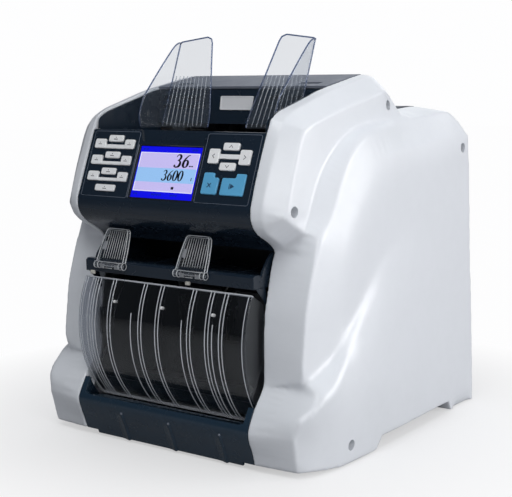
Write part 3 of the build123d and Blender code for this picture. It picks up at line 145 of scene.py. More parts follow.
# ---------------------------------------------------------------- materials
def plastic(name, color, color2, rough, rough_var=0.05, grain=900.0, grain_bump=0.05,
            coat=0.0, spec=0.5, edge=0.25, crevice_shade=0.25, metal=0.0):
    """Moulded plastic or painted metal: fine grain, broad tone drift, edges lightened in
    patches as painted highlight and crevices darkened as painted shade."""
    mat, tree = new_material(name)
    position = coords(tree)
    broad = noise(tree, position, scale=9.0, detail=2.0, roughness=0.5)
    fine = noise(tree, position, scale=grain, detail=2.0)
    blotch = noise(tree, position, scale=70.0, detail=4.0, distortion=0.4)
    tone = mix_color(tree, remap(tree, broad, span=(0.3, 0.7), to=(0.0, 1.0)), color, color2)
    tone = mix_color(tree, remap(tree, blotch, span=(0.35, 0.75), to=(0.0, 0.10)),
                     tone, scaled(color, 0.80))
    # painted shade: the colour darkens where ambient occlusion finds crevices
    if crevice_shade > 0:
        occlusion_shade = add_node(tree, "ShaderNodeAmbientOcclusion", {"Distance": 0.006},
                           samples=4, only_local=True).outputs["AO"]
        tone = mix_color(tree, remap(tree, occlusion_shade, span=(0.35, 0.95), to=(crevice_shade, 0.0)),
                         tone, scaled(color, 0.45))
    if edge > 0:
        # painted highlight: the rounded normal leaves the true one only at edges, and there the
        # colour is lightened in patches
        rounded_normal = add_node(tree, "ShaderNodeBevel", {"Radius": 0.0007}, samples=3)
        normal = add_node(tree, "ShaderNodeNewGeometry").outputs["Normal"]
        agreement = add_node(tree, "ShaderNodeVectorMath", {0: rounded_normal.outputs[0], 1: normal},
                             operation="DOT_PRODUCT").outputs["Value"]
        edge_highlight = multiply(tree, remap(tree, agreement, span=(0.93, 0.999), to=(edge, 0.0)),
                        remap(tree, blotch, span=(0.4, 0.6), to=(0.3, 1.0)))
        tone = mix_color(tree, edge_highlight, tone, [min(1.0, c * 1.25 + 0.05) for c in color])
    output(tree, principled(tree, {
        "Base Color": tone,
        "Roughness": remap(tree, blotch, span=(0.3, 0.7), to=(rough - rough_var, rough + rough_var)),
        "Normal": bump(tree, fine, strength=grain_bump, distance=0.0002),
        "Coat Weight": coat, "Coat Roughness": 0.12,
        "Specular IOR Level": spec, "Metallic": metal}))
    return mat


def rubber(name, color=(0.02, 0.02, 0.022), rough=0.75):
    return plastic(name, color, [c * 1.5 + 0.004 for c in color], rough, rough_var=0.1,
                   grain=700.0, grain_bump=0.35, spec=0.35, edge=0.1, crevice_shade=0.2)


def brushed(name, color, rough, stretch=(60.0, 900.0, 900.0)):
    """Bare metal with streaks drawn out along the axis of least stretch."""
    mat, tree = new_material(name)
    position = coords(tree)
    stretched = add_node(tree, "ShaderNodeMapping", {"Vector": position, "Scale": stretch})
    streak = noise(tree, stretched.outputs[0], scale=1.0)
    spots = noise(tree, position, scale=45.0, detail=4.0, distortion=0.6)
    tone = mix_color(tree, remap(tree, streak, span=(0.3, 0.7), to=(0.0, 1.0)),
                     scaled(color, 0.86), color)
    tone = mix_color(tree, remap(tree, spots, span=(0.5, 0.8), to=(0.0, 0.35)),
                     tone, scaled(color, 0.62))
    output(tree, principled(tree, {
        "Base Color": tone, "Metallic": 1.0,
        "Roughness": remap(tree, streak, span=(0.3, 0.7), to=(rough - 0.08, rough + 0.1)),
        "Normal": bump(tree, streak, strength=0.15, distance=0.0001)}))
    return mat


def clear(name, tint, rough, haze, graze, edge_color=(0.75, 0.85, 1.0)):
    """Clear plastic: a tinted see-through body, more opaque at grazing angles by graze
    on top of an even haze, with fine flow lines and light shadows."""
    refraction = 1.49
    shadow = 0.9
    mat, tree = new_material(name)
    position = coords(tree)
    facing = add_node(tree, "ShaderNodeLayerWeight", {"Blend": 0.35}).outputs["Facing"]
    flow = noise(tree, position, scale=22.0, distortion=1.4)
    fine = noise(tree, position, scale=600.0, detail=2.0, roughness=0.5)
    gloss = add_node(tree, "ShaderNodeBsdfGlossy", {
        "Color": (1.0, 1.0, 1.0),
        "Roughness": remap(tree, flow, span=(0.3, 0.7), to=(rough, rough + 0.06)),
        "Normal": bump(tree, fine, strength=0.05, distance=0.0004)}).outputs[0]
    through_color = mix_color(tree, remap(tree, facing, span=(0.0, 1.0), to=(0.0, 1.0)),
                              tint, scaled(tint, 0.80))
    through = add_node(tree, "ShaderNodeBsdfTransparent", {"Color": through_color}).outputs[0]
    edge = principled(tree, {"Base Color": edge_color, "Roughness": 0.25})
    opacity = add_node(tree, "ShaderNodeMath", {
        0: remap(tree, facing, span=(0.45, 1.0), to=(0.0, 1.0)), 1: graze, 2: haze},
        operation="MULTIPLY_ADD").outputs[0]
    body = mix_shader(tree, opacity, through, edge)
    backfacing = add_node(tree, "ShaderNodeNewGeometry").outputs["Backfacing"]
    fresnel = add_node(tree, "ShaderNodeFresnel", {
        "IOR": remap(tree, backfacing, span=(0.0, 1.0), to=(refraction, 1.0 / refraction))})
    surface = mix_shader(tree, fresnel.outputs[0], body, gloss)
    shadow_ray = add_node(tree, "ShaderNodeLightPath").outputs["Is Shadow Ray"]
    shadow_pass = add_node(tree, "ShaderNodeBsdfTransparent", {"Color": (shadow,) * 3}).outputs[0]
    output(tree, mix_shader(tree, shadow_ray, surface, shadow_pass))
    return mat


def circuit_board():
    mat, tree = new_material("circuit_board")
    position = coords(tree)
    tracks = add_node(tree, "ShaderNodeTexBrick", {
        "Vector": position, "Scale": 260.0, "Mortar Size": 0.06,
        "Color1": (0.012, 0.085, 0.035), "Color2": (0.010, 0.070, 0.030),
        "Mortar": (0.030, 0.170, 0.075)}).outputs["Color"]
    patches = remap(tree, noise(tree, position, scale=120.0), span=(0.55, 0.62), to=(0.0, 0.55))
    output(tree, principled(tree, {
        "Base Color": mix_color(tree, patches, tracks, (0.02, 0.13, 0.055)), "Roughness": 0.32}))
    return mat


def screen(name, color, strength):
    """Glowing display colour broken up by a fine square dot grid."""
    pitch = 0.00024
    mat, tree = new_material(name)
    position = coords(tree)
    in_plane = add_node(tree, "ShaderNodeMapping", {
        "Vector": position, "Rotation": (-math.atan2(SLOPE_Z, SLOPE_Y), 0, 0)}).outputs[0]
    grid = add_node(tree, "ShaderNodeTexBrick", {
        "Vector": in_plane, "Scale": 1.0, "Brick Width": pitch, "Row Height": pitch,
        "Mortar Size": 0.00002, "Color1": (1, 1, 1), "Color2": (0.96, 0.96, 0.96),
        "Mortar": (0.80, 0.80, 0.80)}, offset=0.0).outputs["Color"]
    drift = noise(tree, position, scale=60.0, detail=2.0, roughness=0.5)
    glow = mix_color(tree, remap(tree, drift, span=(0.3, 0.7), to=(0.0, 0.2)),
                     color, scaled(color, 0.9))
    output(tree, principled(tree, {
        "Emission Color": mix_color(tree, 1.0, glow, grid, "MULTIPLY"),
        "Emission Strength": strength, "Base Color": scaled(color, 0.25),
        "Roughness": remap(tree, drift, span=(0.3, 0.7), to=(0.38, 0.46)),
        "Specular IOR Level": 0.2}))
    return mat


# finishes shared by several plastics
DARK_GLOSS = dict(rough=0.25, grain=1500.0, coat=0.18, spec=0.42, edge=0.12, crevice_shade=0.3)
KEY_FINISH = dict(rough=0.36, grain=1200.0, grain_bump=0.06, coat=0.1, crevice_shade=0.45)
COVER_FINISH = dict(rough_var=0.06, grain=1200.0, grain_bump=0.12, edge=0.2)
PRINT_FINISH = dict(grain_bump=0.02, edge=0.0, crevice_shade=0.0)

WHITE = plastic("shell_white_plastic", [0.780, 0.805, 0.852], [0.768, 0.794, 0.838],
                rough=0.34, rough_var=0.03, grain=1400.0, coat=0.07, edge=0.10, crevice_shade=0.22)
DARK = plastic("dark_blue_grey_plastic", [0.0098, 0.0185, 0.0320], [0.0120, 0.0215, 0.0365],
               **DARK_GLOSS)
# the fascia's dark plastic again, made lighter for the apron: painted light
APRON_DARK_PAINTED_LIGHT = plastic("apron_dark_blue_plastic", [0.0150, 0.0330, 0.0560],
                     [0.0175, 0.0365, 0.0610], **DARK_GLOSS)
BLACK = plastic("pocket_black_plastic", [0.006, 0.007, 0.009], [0.009, 0.010, 0.012],
                rough=0.38, rough_var=0.08, grain_bump=0.12, spec=0.45, edge=0.1, crevice_shade=0.2)
COVER_GREY = plastic("cover_grey_plastic", [0.165, 0.183, 0.228], [0.180, 0.198, 0.245],
                     rough=0.52, spec=0.28, **COVER_FINISH)
REAR_GREY = plastic("rear_grey_plastic", [0.060, 0.068, 0.088], [0.070, 0.078, 0.100],
                    rough=0.42, **COVER_FINISH)
KEY_WHITE = plastic("key_white_plastic", [0.93, 0.94, 0.95], [0.90, 0.91, 0.93],
                    edge=0.1, **KEY_FINISH)
KEY_BLUE = plastic("key_blue_plastic", [0.125, 0.455, 0.760], [0.110, 0.420, 0.710],
                   edge=0.15, **KEY_FINISH)
PRINT_GREY = plastic("key_print_grey", [0.05, 0.055, 0.07], [0.07, 0.075, 0.09],
                     rough=0.6, spec=0.3, **PRINT_FINISH)
PRINT_NAVY = plastic("key_print_navy", [0.02, 0.06, 0.13], [0.03, 0.07, 0.15],
                     rough=0.6, spec=0.3, **PRINT_FINISH)
OUTLINE_PRINT = plastic("keypad_outline_print", [0.10, 0.125, 0.17], [0.12, 0.145, 0.19],
                        rough=0.5, spec=0.4, **PRINT_FINISH)
STEEL = brushed("zinc_steel", [0.60, 0.61, 0.63], rough=0.34)
PIN_STEEL = brushed("polished_pin_steel", [0.72, 0.73, 0.75], rough=0.2,
                    stretch=(900.0, 200.0, 200.0))
# screw metal darkened: painted shade of the recesses the screws sit in
SCREW_ZINC_SHADED = brushed("dark_zinc_screw", [0.17, 0.155, 0.14], rough=0.42,
                     stretch=(600.0, 200.0, 200.0))
# the metallised plate drawn as bright, almost non-metal plastic: its reflection is painted into the
# colour
PLATE_PAINTED_REFLECTION = plastic("blank_metallised_plate", [0.80, 0.81, 0.84], [0.74, 0.755, 0.79],
                rough=0.34, grain=2600.0, coat=0.1, spec=0.6, edge=0.2, crevice_shade=0.2, metal=0.05)
FOOT_RUBBER = rubber("foot_rubber")
ROLLER_RUBBER = rubber("roller_rubber", (0.035, 0.035, 0.038), rough=0.65)
BELT_RUBBER = rubber("belt_rubber", (0.018, 0.018, 0.02), rough=0.6)
NYLON = plastic("natural_nylon", [0.62, 0.61, 0.56], [0.58, 0.57, 0.52],
                rough=0.45, rough_var=0.06, grain=600.0, grain_bump=0.1)
MATT_BLACK = plastic("matt_black_plastic", [0.012, 0.012, 0.014], [0.018, 0.018, 0.02],
                     rough=0.5, rough_var=0.08, grain=800.0, grain_bump=0.2)
MOTOR_PAINT = plastic("painted_motor_shell", [0.045, 0.048, 0.055], [0.055, 0.058, 0.065],
                      rough=0.35, rough_var=0.08, grain=400.0, grain_bump=0.2, coat=0.1,
                      edge=0.3, crevice_shade=0.3, metal=0.4)
BOSS_WHITE = plastic("boss_white_plastic", [0.82, 0.82, 0.82], [0.78, 0.78, 0.78], rough=0.35)
GUIDE_CLEAR = clear("clear_guide_plastic", [0.955, 0.965, 0.98],
                    rough=0.02, haze=0.02, graze=0.10)
DOOR_CLEAR = clear("clear_door_plastic", [0.90, 0.91, 0.93],
                   rough=0.03, haze=0.004, graze=0.05, edge_color=(0.62, 0.66, 0.72))
STOPPER_CLEAR = clear("clear_stopper_plastic", [0.95, 0.96, 0.97],
                      rough=0.03, haze=0.006, graze=0.06, edge_color=(0.75, 0.80, 0.86))
# hazy white copy of the clear plastic: painted highlight on the door's ribs and edges
DOOR_RIB_HIGHLIGHT = clear("clear_rib_edges", [0.88, 0.90, 0.93],
                 rough=0.08, haze=0.46, graze=0.30, edge_color=(0.90, 0.93, 0.98))
# hazy white copy of the clear plastic: painted highlight on the stoppers' edges
STOPPER_EDGE_HIGHLIGHT = clear("clear_stopper_edges", [0.88, 0.90, 0.93],
                     rough=0.06, haze=0.52, graze=0.3, edge_color=(0.94, 0.96, 0.99))
STOPPER_WINDOW = clear("clear_stopper_window", [0.72, 0.74, 0.77],
                       rough=0.2, haze=0.35, graze=0.2, edge_color=(0.6, 0.62, 0.66))
# dark bluish copy of the clear plastic: painted shade along the guides' edges
GUIDE_EDGE_SHADE = clear("clear_guide_edges", [0.42, 0.49, 0.66],
                   rough=0.05, haze=0.30, graze=0.20, edge_color=(0.12, 0.17, 0.30))
# hazy white copy of the clear plastic: painted highlight on the guides' ribs
GUIDE_RIB_HIGHLIGHT = clear("clear_guide_ribs", [0.84, 0.88, 0.94],
                  rough=0.08, haze=0.26, graze=0.2, edge_color=(0.88, 0.92, 0.98))
BOARD = circuit_board()
SCREEN_BLUE = screen("screen_blue", (0.004, 0.004, 0.88), strength=0.80)
SCREEN_LAVENDER = screen("screen_lavender", (0.62, 0.56, 0.97), strength=0.80)
SCREEN_WHITE = screen("screen_edge_white", (0.88, 0.88, 1.0), strength=0.85)
SCREEN_SKY = screen("screen_sky", (0.34, 0.60, 0.98), strength=0.80)
SCREEN_INK = screen("screen_ink", (0.004, 0.004, 0.008), strength=0.3)
SCREEN_DIM = screen("screen_dim_mark", (0.004, 0.02, 0.42), strength=0.6)


# ---------------------------------------------------------------- object helpers
def link_object(name, data):
    obj = bpy.data.objects.new(name, data)
    bpy.context.scene.collection.objects.link(obj)
    return obj


def new_obj(name, bm, mat=None, smooth=True):
    mesh = bpy.data.meshes.new(name)
    bmesh.ops.recalc_face_normals(bm, faces=bm.faces[:])
    bm.to_mesh(mesh)
    bm.free()
    if smooth:
        for face in mesh.polygons:
            face.use_smooth = True
    obj = link_object(name, mesh)
    if mat is not None:
        mesh.materials.append(mat)
    return obj


def evaluated_mesh(obj, depsgraph):
    return bpy.data.meshes.new_from_object(
        obj.evaluated_get(depsgraph), preserve_all_data_layers=True, depsgraph=depsgraph)


def updated_depsgraph():
    depsgraph = bpy.context.evaluated_depsgraph_get()
    depsgraph.update()
    return depsgraph


def bake(obj):
    """Applies every modifier."""
    mesh = evaluated_mesh(obj, updated_depsgraph())
    old = obj.data
    obj.modifiers.clear()
    obj.data = mesh
    bpy.data.meshes.remove(old)
    return obj


def edge_modifier(obj, width, segments, angle):
    mod = obj.modifiers.new("edge", "BEVEL")
    mod.width = width * MM
    mod.segments = segments
    mod.limit_method = "ANGLE"
    mod.angle_limit = math.radians(angle)
    mod.use_clamp_overlap = True
    return mod


def weighted_normals(obj, weight=80):
    obj.modifiers.new("normals", "WEIGHTED_NORMAL").weight = weight


def bevel(obj, width, segments=2, angle=40, normals=True):
    edge_modifier(obj, width, segments, angle).miter_outer = "MITER_ARC"
    if normals:
        weighted_normals(obj)
    return obj


def soften(obj, width, segments=2):
    """Applied bevel that leaves the normals alone."""
    return bake(bevel(obj, width, segments, normals=False))


def cut(obj, *tools):
    for tool in tools:
        mod = obj.modifiers.new("cut", "BOOLEAN")
        mod.operation = "DIFFERENCE"
        mod.solver = "EXACT"
        mod.object = tool
        bake(obj)
        bpy.data.objects.remove(tool, do_unlink=True)
    return obj


def join(name, objs):
    """One object from several, keeping each one's material."""
    bm = bmesh.new()
    mats = []
    depsgraph = updated_depsgraph()
    for obj in objs:
        mesh = evaluated_mesh(obj, depsgraph)
        slots = []
        for mat in mesh.materials:
            if mat not in mats:
                mats.append(mat)
            slots.append(mats.index(mat))
        if slots:
            for face in mesh.polygons:
                face.material_index = slots[min(face.material_index, len(slots) - 1)]
        bm.from_mesh(mesh)
        bpy.data.meshes.remove(mesh)
    for obj in objs:
        bpy.data.objects.remove(obj, do_unlink=True)
    mesh = bpy.data.meshes.new(name)
    bm.to_mesh(mesh)
    bm.free()
    for mat in mats:
        mesh.materials.append(mat)
    for face in mesh.polygons:
        face.use_smooth = True
    return link_object(name, mesh)


def give(obj, body, slot, *nodes):
    """The object rides on body and stands for the nodes, which are hidden; slot is not used."""
    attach(obj, body)
    if nodes:
        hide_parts(*nodes)


# ---------------------------------------------------------------- shape helpers
def extrude(loop, vector, mat=None, name="piece"):
    """Closed planar loop of scene points swept by a vector."""
    bm = bmesh.new()
    near = [bm.verts.new(p) for p in loop]
    far = [bm.verts.new(Vector(p) + vector) for p in loop]
    bm.faces.new(near)
    bm.faces.new(far[::-1])
    n = len(near)
    for i in range(n):
        bm.faces.new((near[i], far[i], far[(i + 1) % n], near[(i + 1) % n]))
    return new_obj(name, bm, mat)


def prism(points, x0, x1, mat=None, name="piece"):
    """(y, z) polygon swept along X."""
    return extrude([W(x0, y, z) for y, z in points], Vector(((x1 - x0) * MM, 0, 0)), mat, name)


def block(x0, x1, y0, y1, z0, z1, mat=None, name="piece"):
    base = [W(x0, y0, z0), W(x1, y0, z0), W(x1, y1, z0), W(x0, y1, z0)]
    return extrude(base, Vector((0, 0, (z1 - z0) * MM)), mat, name)


def keypad_block(points, out0, out1, mat=None):
    """(x, s) polygon on the keypad plane, swept along its normal."""
    sweep = on_keypad(0, 0, out1) - on_keypad(0, 0, out0)
    return extrude([on_keypad(x, s, out0) for x, s in points], sweep, mat)


def cylinder(radius, start, end, mat=None, sides=32, end_radius=None):
    """Cylinder or cone between two design points."""
    a, b = W(*start), W(*end)
    axis = (b - a).normalized()
    u = axis.orthogonal().normalized()
    v = axis.cross(u)
    bm = bmesh.new()

    def ring(centre, r):
        angles = [2 * math.pi * i / sides for i in range(sides)]
        return [bm.verts.new(centre + (u * math.cos(t) + v * math.sin(t)) * r * MM) for t in angles]

    ring_a = ring(a, radius)
    ring_b = ring(b, radius if end_radius is None else end_radius)
    bm.faces.new(ring_a[::-1])
    bm.faces.new(ring_b)
    for i in range(sides):
        j = (i + 1) % sides
        bm.faces.new((ring_a[i], ring_a[j], ring_b[j], ring_b[i]))
    return new_obj("piece", bm, mat)


def tube(points, radius, mat):
    """Round bead through scene points."""
    curve = bpy.data.curves.new("tube", "CURVE")
    curve.dimensions = "3D"
    curve.bevel_depth = radius * MM
    curve.bevel_resolution = 3
    line = curve.splines.new("POLY")
    line.points.add(len(points) - 1)
    for target, p in zip(line.points, points):
        target.co = (p[0], p[1], p[2], 1.0)
    curve.use_fill_caps = True
    temp = link_object("tube", curve)
    depsgraph = bpy.context.evaluated_depsgraph_get()
    mesh = bpy.data.meshes.new_from_object(temp.evaluated_get(depsgraph))
    bpy.data.objects.remove(temp, do_unlink=True)
    mesh.materials.clear()
    mesh.materials.append(mat)
    for face in mesh.polygons:
        face.use_smooth = True
    return link_object("tube", mesh)


def side_span(side, a, b):
    """The two x values on one side (+1 or -1) of the machine, in rising order."""
    return sorted((side * a, side * b))


def rect(x0, x1, s0, s1):
    return [(x0, s0), (x1, s0), (x1, s1), (x0, s1)]


def rounded(points, radius, steps=5):
    """Closed polygon with every corner rounded by one radius, or by a list of radii."""
    out = []
    count = len(points)
    for i in range(count):
        corner = Vector(points[i])
        r = radius[i] if isinstance(radius, (list, tuple)) else radius
        a = Vector(points[i - 1]) - corner
        b = Vector(points[(i + 1) % count]) - corner
        len_a, len_b = a.length, b.length
        a.normalize()
        b.normalize()
        angle = math.acos(max(-0.9999, min(0.9999, a.dot(b))))
        if r <= 0 or angle > math.radians(172):
            out.append(tuple(corner))
            continue
        back = min(r / math.tan(angle / 2), len_a * 0.48, len_b * 0.48)
        r = back * math.tan(angle / 2)
        centre = corner + (a + b).normalized() * (r / math.sin(angle / 2))
        start = (corner + a * back) - centre
        end = (corner + b * back) - centre
        angle0 = math.atan2(start.y, start.x)
        turn = math.atan2(end.y, end.x) - angle0
        while turn > math.pi:
            turn -= 2 * math.pi
        while turn < -math.pi:
            turn += 2 * math.pi
        for k in range(steps + 1):
            t = angle0 + turn * k / steps
            out.append((centre.x + r * math.cos(t), centre.y + r * math.sin(t)))
    return out


def grow(points, amount):
    """Polygon offset outwards (inwards when negative)."""
    n = len(points)
    area = sum(points[i][0] * points[(i + 1) % n][1] - points[(i + 1) % n][0] * points[i][1]
               for i in range(n))
    sign = 1.0 if area > 0 else -1.0
    out = []
    for i in range(n):
        before, here, after = points[i - 1], points[i], points[(i + 1) % n]
        normals = []
        for a, b in ((before, here), (here, after)):
            dx, ds = b[0] - a[0], b[1] - a[1]
            length = math.hypot(dx, ds)
            normals.append((ds / length * sign, -dx / length * sign))
        nx = (normals[0][0] + normals[1][0]) / 2
        ns = (normals[0][1] + normals[1][1]) / 2
        k = amount / (nx * nx + ns * ns)
        out.append((here[0] + nx * k, here[1] + ns * k))
    return out


def spline(points, step=2.0, corner=38.0):
    """Densified path of any dimension: centripetal Catmull-Rom between the corners
    sharper than corner degrees."""
    P = [Vector(p) for p in points]
    n = len(P)
    sharp = [True] + [False] * (n - 2) + [True]
    for i in range(1, n - 1):
        a, b = P[i] - P[i - 1], P[i + 1] - P[i]
        if a.length and b.length and math.degrees(a.angle(b)) > corner:
            sharp[i] = True
    out = []
    for i in range(n - 1):
        p1, p2 = P[i], P[i + 1]
        p0 = P[i - 1] if not sharp[i] else p1 - (p2 - p1)
        p3 = P[i + 2] if not sharp[i + 1] else p2 + (p2 - p1)
        count = max(1, int(round((p2 - p1).length / step)))
        t0 = 0.0
        t1 = t0 + max(1e-6, (p1 - p0).length) ** 0.5
        t2 = t1 + max(1e-6, (p2 - p1).length) ** 0.5
        t3 = t2 + max(1e-6, (p3 - p2).length) ** 0.5
        for j in range(count):
            t = t1 + (t2 - t1) * j / count

            def between(a, b, ta, tb):
                return a * ((tb - t) / (tb - ta)) + b * ((t - ta) / (tb - ta))

            a1 = between(p0, p1, t0, t1)
            a2 = between(p1, p2, t1, t2)
            a3 = between(p2, p3, t2, t3)
            b1 = between(a1, a2, t0, t2)
            b2 = between(a2, a3, t1, t3)
            out.append(tuple(between(b1, b2, t1, t2)))
    out.append(tuple(P[-1]))
    return out


def strip(path, thickness):
    """(y, z) path thickened to its left, with mitres."""
    n = len(path)
    offset = []
    for i in range(n):
        normals = []
        for a, b in ((i - 1, i), (i, i + 1)):
            if a < 0 or b >= n:
                continue
            dy, dz = path[b][0] - path[a][0], path[b][1] - path[a][1]
            length = math.hypot(dy, dz) or 1.0
            normals.append((-dz / length, dy / length))
        ny = sum(a for a, _ in normals) / len(normals)
        nz = sum(b for _, b in normals) / len(normals)
        k = thickness / (ny * ny + nz * nz)
        offset.append((path[i][0] + ny * k, path[i][1] + nz * k))
    return list(path) + offset[::-1]


# ---------------------------------------------------------------- side panels
# Curves of the right-hand moulding, points as (y, z, x).
# The outline runs round the panel; each part has the corner angle that stays sharp.
OUTLINE = {
    "front": (44.0, [
        (-153.5, 5.8, 100), (-156.3, 16.3, 100), (-160.4, 26.1, 100), (-163.1, 35.6, 100),
        (-161.6, 41.3, 100), (-157.3, 49, 100), (-152.9, 56.7, 100), (-145.7, 64.8, 100),
        (-139.8, 74, 100), (-139, 82.6, 100), (-138.9, 98, 100), (-138.9, 113.2, 100),
        (-136.9, 139, 100), (-134.7, 147.3, 100), (-130.9, 162.3, 100), (-127.2, 176.5, 100),
        (-122.7, 187.1, 100), (-125.6, 190.9, 100), (-135.6, 197.7, 100), (-147, 204, 100),
        (-153.9, 211, 100), (-157, 218, 100), (-157, 226.3, 100), (-155.7, 232, 100),
        (-149.2, 250.7, 100), (-142, 268.5, 100), (-134.8, 285.7, 100), (-129.7, 296.3, 100),
        (-127.5, 300.4, 100), (-121.7, 304, 100), (-115.9, 306.8, 100), (-107.1, 309.4, 100),
        (-82.9, 316, 100), (-51.5, 324.8, 100), (-18.6, 331.5, 100), (4, 336, 100),
        (17.7, 338.1, 100)]),
    "top_rear": (60.0, [
        (26.5, 336.4, 104), (33, 331.5, 108), (43, 322.5, 112), (52, 314, 113),
        (58.5, 307.2, 112), (63.5, 304.6, 104)]),
    "deck": (30.0, [
        (89, 305, 101), (108, 306.3, 101), (121, 306, 102), (131, 300.5, 106),
        (142.5, 291, 112)]),
    "rear": (30.0, [
        (153.6, 276.1, 144), (155.6, 211, 146), (158.5, 160, 146), (161.8, 107, 146.5),
        (165.2, 52, 147), (168.2, 0.8, 147)]),
    "bottom": (24.0, [
        (117, 0.8, 147.8), (112.4, 10, 148), (82.6, 10, 149), (4.9, 10, 152.5),
        (-28, 10, 153), (-39.5, 0.8, 154.6), (-53.2, 0.8, 155), (-87.8, 0.8, 155.5),
        (-103.2, 1.2, 154.6), (-122.2, 2.9, 151.6), (-139.1, 5, 147.5), (-149.7, 5.6, 141.5)]),
}
# Lines the surface follows inside the outline.
FEATURES = {
    "rim": [
        (-122.6, 190.6, 110.5), (-124.6, 192.6, 110.5), (-135.4, 199.2, 110.5),
        (-145.4, 205, 110.5), (-151.3, 210.6, 110.5), (-154.1, 217.2, 110.5),
        (-154.7, 224.3, 110.5), (-153.7, 230.8, 110.5), (-147.4, 248.9, 110.5),
        (-140.6, 265, 110.5), (-132.2, 283.9, 110.5), (-127.3, 293.6, 110.5),
        (-123.8, 298.3, 110.5), (-119.5, 301.4, 110.5), (-113.5, 304.6, 110.5),
        (-106.4, 307.7, 110.5), (-82.6, 314.6, 110.5), (-51.2, 323.5, 110.5),
        (-18.3, 330.2, 110.5), (4, 334.7, 110), (17, 336.7, 109.5), (25.6, 334.8, 109.5)],
    "upper_ridge": [
        (-142.6, 219.4, 125), (-139.5, 225.5, 126), (-136.4, 235.5, 126), (-131.6, 250.6, 126),
        (-127.2, 262.5, 126), (-119, 283, 126), (-114.5, 290.6, 126.4), (-107.5, 294.6, 126.8),
        (-92, 299.4, 127.2), (-43, 311.4, 127.8), (-4, 319, 128), (14, 321.8, 127.5),
        (26, 318.5, 124.5)],
    "lower_ridge": [
        (-117.8, 204.5, 128), (-112.2, 215.4, 128), (-103.7, 235.1, 128), (-92.3, 253.9, 128),
        (-75.1, 270.1, 128), (-57.9, 281.1, 128), (-37.8, 288.4, 128), (-17.2, 291.8, 128),
        (13, 294.9, 128), (40, 297.2, 128), (49.5, 299, 126)],
    "ridge_rear_end": [(26, 318.5, 124.5), (37, 309.5, 124), (49.5, 299, 126)],
    "rim_to_lower_ridge": [(-122.6, 190.6, 110.5), (-117.8, 204.5, 128)],
    "upper_ridge_to_rim": [(-142.6, 219.4, 125), (-151.3, 210.6, 110.5)],
    "ridge_front_end": [(-142.6, 219.4, 125), (-117.8, 204.5, 128)],
    "shoulder": [
        (-138.5, 77.6, 140), (-138.3, 98, 140), (-136.2, 113, 140), (-132.4, 140, 140),
        (-125.5, 163.5, 140), (-117, 187, 140), (-110.5, 200.5, 140), (-97, 212, 140),
        (-86, 229, 140), (-76.7, 247, 140), (-64.5, 266, 140), (-52, 277.6, 140),
        (-37, 285.4, 140), (-15, 289.4, 139), (10, 292, 136.5), (30, 293.6, 132.5),
        (45, 294.9, 131.5), (63.9, 296.4, 132), (88, 298.7, 134), (119, 301.2, 138),
        (137.7, 291, 141)],
    "face_edge": [
        (-84, 106, 146), (-85.5, 125, 146), (-83.9, 148, 146), (-79.5, 167, 146),
        (-73.5, 183, 146), (-61, 206, 146), (-41, 231, 146), (-19.8, 250, 146),
        (-6.7, 257, 146), (7.3, 261, 146), (35.5, 265.6, 146), (70, 268.3, 146),
        (105, 270, 146), (130, 271.6, 146)],
    "crease_upper": [
        (-138.5, 77.6, 140), (-127.9, 82, 141.5), (-116.4, 87.7, 143), (-100, 95, 144.9),
        (-84, 106, 146), (-78.3, 112.5, 146), (-65.9, 124.9, 146), (-43.6, 150.5, 146),
        (-23.7, 170.9, 146), (18.4, 188.7, 146)],
    "crease_lower": [
        (-157.4, 46.6, 143.5), (-154.5, 52, 148.5), (-146.5, 58.1, 153.3), (-136, 65, 156),
        (-127, 69.8, 157), (-114.6, 74.5, 157), (-104.4, 82.6, 155.5), (-95, 92.7, 153.5),
        (-87, 103, 151.5), (-75.7, 113.3, 150.5), (-61.8, 124, 149.5), (-29.6, 148.6, 148),
        (-9.8, 166.6, 147), (18.4, 188.7, 146)],
    "crease_end": [(18.4, 188.7, 146), (80, 196, 146), (155.6, 211, 146)],
    "front_corner": [
        (-157.4, 46.6, 143.5), (-157.2, 38.5, 143.5), (-155, 28.3, 143), (-152.6, 18, 142.5),
        (-149.7, 5.6, 141.5)],
    "front_crest": [(-161.6, 41.3, 100), (-157.4, 46.6, 143.5)],
}
# Single points that shape the broad outer face.
FACE_POINTS = [
    (-130, 30, 152), (-100, 30, 157.5), (-60, 30, 157.5), (0, 35, 154.5), (60, 32, 151),
    (120, 35, 148.7), (-112, 55, 158), (-85, 60, 158.2), (-50, 62, 157.2), (0, 65, 154),
    (60, 62, 150.5), (120, 65, 148.2), (-72, 92, 155.3), (-40, 98, 153.6), (0, 98, 152),
    (60, 98, 149.2), (120, 98, 147.4), (-25, 130, 150.8), (15, 132, 149.8), (60, 132, 148.2),
    (120, 132, 147), (20, 160, 147.9), (60, 165, 147.2), (110, 168, 146.5), (-60, 170, 146),
    (-30, 200, 146), (0, 225, 146), (40, 240, 146), (100, 240, 146), (-55, 150, 146),
]
# Screw recesses: y, z, x of the panel's surface, x of the recess floor.
SCREWS = [(-130.0, 223.5, 127.0, 115.0), (23.2, 309.4, 129.0, 117.0),
          (139.0, 265.0, 147.0, 134.0), (-87.0, 17.5, 157.5, 144.0)]
RECESS_RADIUS = 4.9


def add_face(bm, verts):
    try:
        bm.faces.new(verts)
    except ValueError:
        pass    # guards against a face that is there already or repeats a vertex


